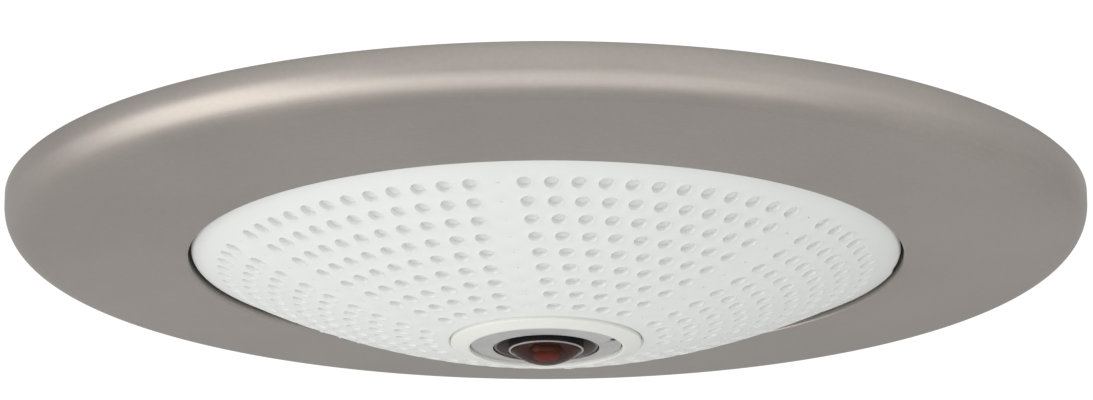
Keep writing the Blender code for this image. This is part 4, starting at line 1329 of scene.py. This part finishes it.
@dataclass
class Inside:
    """Chassis, boards, connectors and sound, between shell and housing."""

    board: float = -1.0 * MM
    board_thick: float = 1.6 * MM
    board_r: float = 64.0 * MM
    chassis: float = -8.7 * MM
    chassis_thick: float = 1.5 * MM
    standoff_r: float = 55.0 * MM
    speaker: Spot = (0.0, 42.0 * MM)
    microphone: Spot = (-46.0 * MM, 0.0)
    sensor_side: float = 36 * MM
    holder_flange: float = 1.8 * MM
    post_hole_r: float = 1.6 * MM
    standoff_turns: tuple[float, ...] = tuple(math.radians(a) for a in (25, 155, 265))

    @property
    def board_top(self) -> float:
        """Where parts on the main board start."""
        return self.board + self.board_thick + GAP

    def posts(self) -> list[Spot]:
        """x and y of the standoffs."""
        return [(self.standoff_r * math.cos(a), self.standoff_r * math.sin(a)) for a in self.standoff_turns]

    def structure(self, finishes: Finishes) -> None:
        """Chassis plate, lens holder, standoffs and their screws."""
        top = self.chassis + self.chassis_thick
        plate = Skin().slab(circle(69.0 * MM, 192), self.chassis, top,
                            [circle(12.0 * MM, 64), circle(10.0 * MM, 64, *self.speaker)], 0.15 * MM)
        dress(plate.piece("chassis_disc"), finishes.zinc, "chassis_plate")
        flange, inner, outer = top + GAP, 8.8 * MM, 11.0 * MM
        tube = block(inner, outer, -23.0 * MM, flange + MM)
        holder = Skin().ring(rounded(tube, 0.3 * MM), 96)
        holder.slab(rectangle(self.sensor_side, self.sensor_side, corner=2 * MM), flange,
                    flange + self.holder_flange,
                    [rectangle(14.6 * MM, 14.6 * MM, corner=MM)])
        dress(holder.piece("holder_body"), finishes.black, "lens_holder")
        screw = Screw(1.2 * MM, self.board_top - self.board + 5 * MM, 2.6 * MM, 1.8 * MM, 0.6 * MM, 24)
        for index, (x, y) in enumerate(self.posts(), 1):
            post = Skin().slab(circle(3.2 * MM, 6, x, y), flange, self.board - GAP,
                               [circle(self.post_hole_r, 24, x, y, HOLE_TURN)], 0.15 * MM)
            dress(post.piece(f"hexagon_post_{index}", 30), finishes.brass,
                  f"board_standoff_{index}")
            short_screw = screw.build(f"short_screw_{index}", x, y, self.board_top)
            dress(short_screw, finishes.screw, f"board_screw_{index}")

    def electronics(self, finishes: Finishes) -> None:
        """Boards, chips, socket, card reader, card, switch and key."""
        holes = [circle(self.post_hole_r, 24, x, y, HOLE_TURN) for x, y in self.posts()]
        top = self.board + self.board_thick
        main = Skin().slab(circle(self.board_r, 192), self.board, top, holes, 0.1 * MM)
        dress(main.piece("main_circuit"), finishes.board, "main_board")
        low = self.chassis + self.chassis_thick + 2 * GAP + self.holder_flange
        square = rectangle(self.sensor_side, self.sensor_side, corner=2 * MM)
        sensor = Skin().slab(square, low, low + self.board_thick, soft=0.1 * MM)
        dress(sensor.piece("sensor_circuit"), finishes.board, "sensor_board")
        paint(finishes.chip, "image_sensor", "processor")
        paint(finishes.light_metal, "heat_spreader")

        x, y = SOCKET
        floor = self.board_top + 4 * MM
        outside = rectangle(16 * MM, 14 * MM, x, y)
        socket = Skin().slab(outside, self.board_top, floor + 0.2 * MM)
        socket.slab(outside, floor, HUMP_TOP,
                    [rectangle(11.8 * MM, 8.4 * MM, x, y, 0.4 * MM)])
        dress(socket.piece("socket_shell"), finishes.light_metal, "network_socket")
        pins = Skin()
        for column in range(8):
            pin = rectangle(0.45 * MM, 0.35 * MM, x + (column - 3.5) * 1.02 * MM, y + 3.4 * MM, 0.1 * MM, 1)
            pins.slab(pin, floor, floor + 9 * MM, soft=0.05 * MM, segments=1)
        dress(pins.piece("socket_contacts"), finishes.pin, "network_socket")

        x, y = READER
        floor = self.board_top + 2.5 * MM
        outside = rectangle(15 * MM, 5 * MM, x, y)
        reader = Skin().slab(outside, self.board_top, floor + 0.2 * MM)
        reader.slab(outside, floor, 15.0 * MM,
                    [rectangle(11.8 * MM, 1.8 * MM, x, y, 0.2 * MM)])
        dress(reader.piece("reader_shell"), finishes.zinc, "card_reader")
        card = Skin().slab(rectangle(11.0 * MM, 1.0 * MM, x, y, 0.3 * MM), 5.5 * MM, HUMP_TOP - 0.5 * MM)
        dress(card.piece("card_body"), finishes.chip, "memory_card", Body.CARD)

        x, y = KEY
        switch = Skin().slab(rectangle(6 * MM, 6 * MM, x, y), self.board_top, 11.2 * MM)
        dress(switch.piece("switch_body"), finishes.light_metal, "key_switch")
        low, collar, top = 12.0 * MM, HUMP_TOP - 6 * MM, HUMP_TOP + 0.9 * MM
        key = [(0.0, low), (1.6 * MM, low), (1.6 * MM, collar), (3.2 * MM, collar),
               (3.2 * MM, collar + 1.4 * MM), (1.9 * MM, collar + 1.4 * MM), (1.9 * MM, top), (0.0, top)]
        plunger = lathe("key_plunger", rounded(key, 0.25 * MM, open_ends=True), 64, KEY)
        dress(plunger, finishes.black, "reset_key", Body.KEY)

    def sound(self, finishes: Finishes) -> None:
        """Loudspeaker basket, magnet, ribbed cone and the microphone capsule."""
        top = self.chassis - GAP
        basket = [(16.2 * MM, -15.0 * MM), (18.0 * MM, -15.0 * MM), (18.0 * MM, top), (9.6 * MM, top),
                  (9.6 * MM, top - 1.4 * MM), (16.2 * MM, top - 1.4 * MM)]
        basket_piece = lathe("basket", rounded(basket, 0.3 * MM), 128, self.speaker)
        dress(basket_piece, finishes.black, "speaker_frame")
        magnet = block(0.0, 9.2 * MM, -10.3 * MM, -1.6 * MM)
        pot = lathe("magnet", rounded(magnet, 0.4 * MM, open_ends=True), 96, self.speaker)
        dress(pot, finishes.ferrite, "speaker_magnet")
        t = np.linspace(0, 1, 9)
        face_r = (5.0 + 9.5 * t) * MM
        face_z = (-11.6 - 2.6 * t) * MM + 0.08 * MM * np.sin(6 * np.pi * t)
        face = np.column_stack([face_r, face_z])
        front = np.vstack([[(0.0, -11.6 * MM)], face, [(15.8 * MM, -14.2 * MM)]])
        back = front[::-1] + (0.0, 0.6 * MM)
        cone = lathe("cone_sheet", np.vstack([front, back]), 96, self.speaker)
        dress(cone, finishes.paper, "speaker_cone", Body.CONE)
        capsule = block(0.0, 4.8 * MM, -14.0 * MM, top)
        pickup = lathe("capsule", rounded(capsule, 0.4 * MM, open_ends=True), 64, self.microphone)
        dress(pickup, finishes.light_metal, "microphone")

    def build(self, finishes: Finishes) -> None:
        """Make everything inside."""
        self.structure(finishes)
        self.electronics(finishes)
        self.sound(finishes)


# ------------------------------------------------------------------ stage

@dataclass
class Studio:
    """Camera, soft lights, a white surround and a pale floor far below the object."""

    focal: float = 163.85
    distance: float = 1.1329
    elevation: float = math.radians(-16.32)
    target: Point = (0.00015, 0.0, 0.00195)
    roll: float = math.radians(-0.12)
    floor_z: float = -1.4

    def camera(self) -> None:
        """A long lens below the ceiling, looking up at the object."""
        data = bpy.data.cameras.new("view")
        data.lens = self.focal
        data.sensor_width = 36.0
        camera = bpy.data.objects.new("view", data)
        aim = Vector(self.target)
        back = Vector((0, -math.cos(self.elevation), math.sin(self.elevation)))
        camera.location = aim + back * self.distance
        camera.rotation_euler = (-back).to_track_quat("-Z", "Y").to_euler()
        camera.rotation_euler.rotate_axis("Z", self.roll)
        data.clip_start, data.clip_end = 0.05, 20.0
        bpy.context.scene.collection.objects.link(camera)
        bpy.context.scene.camera = camera

    def light(self, name: str, where: Point, size: float, power: float, colour: Colour) -> None:
        """A square soft box aimed at the object."""
        data = bpy.data.lights.new(name, "AREA")
        data.size = size
        data.energy = power
        data.color = colour
        lamp = bpy.data.objects.new(name, data)
        lamp.location = where
        lamp.rotation_euler = (-Vector(where)).to_track_quat("-Z", "Y").to_euler()
        bpy.context.scene.collection.objects.link(lamp)

    def surround(self, front: float, rear: float) -> None:
        """A white world: radiance falls from front (-Y) to rear, and the bare background shows pure white.

        Args:
            front: radiance from straight in front.
            rear: radiance from straight behind.
        """
        world = bpy.data.worlds.new("surround")
        world.use_nodes = True
        tree = world.node_tree
        nodes = tree.nodes
        path, where = nodes.new("ShaderNodeLightPath"), nodes.new("ShaderNodeTexCoord")
        parts = nodes.new("ShaderNodeSeparateXYZ")
        fade, power = nodes.new("ShaderNodeMapRange"), nodes.new("ShaderNodeMix")
        fade.inputs["From Min"].default_value = -1.0
        fade.inputs["To Min"].default_value = front
        fade.inputs["To Max"].default_value = rear
        power.inputs[3].default_value = 1.05
        tree.links.new(where.outputs["Generated"], parts.inputs[0])
        tree.links.new(parts.outputs["Y"], fade.inputs["Value"])
        tree.links.new(fade.outputs["Result"], power.inputs[2])
        tree.links.new(path.outputs["Is Camera Ray"], power.inputs[0])
        tree.links.new(power.outputs[0], nodes["Background"].inputs["Strength"])
        nodes["Background"].inputs["Color"].default_value = (1, 1, 1, 1)
        bpy.context.scene.world = world

    def floor(self) -> None:
        """A plain pale floor."""
        half = 4.0
        corners = np.array([(-half, -half), (half, -half), (half, half), (-half, half)])
        skin = Skin()
        numbers = skin.points(np.column_stack([corners, np.full(4, self.floor_z)]))
        skin.quads.append(numbers[None, :])
        floor = skin.piece("floor")
        pale = Moulded("floor_pale", (0.82, 0.82, 0.81), 0.8, 40.0, 0.0005, 0.01)
        floor.data.materials.append(pale.build())

    def build(self) -> None:
        """Set the stage."""
        bpy.context.scene.view_settings.view_transform = "Standard"
        self.camera()
        self.surround(1.12, 0.52)
        self.floor()
        self.light("key_left", (-1.6, -0.5, -0.8), 1.7, 18.0, (1.0, 0.985, 0.95))
        self.light("under", (0.0, -0.5, -1.35), 2.4, 16.0, (1.0, 0.99, 0.97))
        self.light("fill_right", (1.3, -0.95, -0.6), 1.2, 2.0, (1.0, 0.99, 0.97))


def write_sizes() -> None:
    """Write the CAD box and the visual model's box."""
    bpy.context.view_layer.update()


def main() -> None:
    """Build the model, sub-assembly by sub-assembly."""
    logging.basicConfig(level=logging.INFO, format="%(name)s: %(message)s")
    Studio().build()
    finishes = Finishes()
    TrimRing().build(finishes)
    DimpledShell().build(finishes)
    LensGroup().build(finishes)
    Housing().build(finishes)
    Inside().build(finishes)
    Mount().build(finishes)
    write_sizes()


if __name__ == "__main__":
    main()
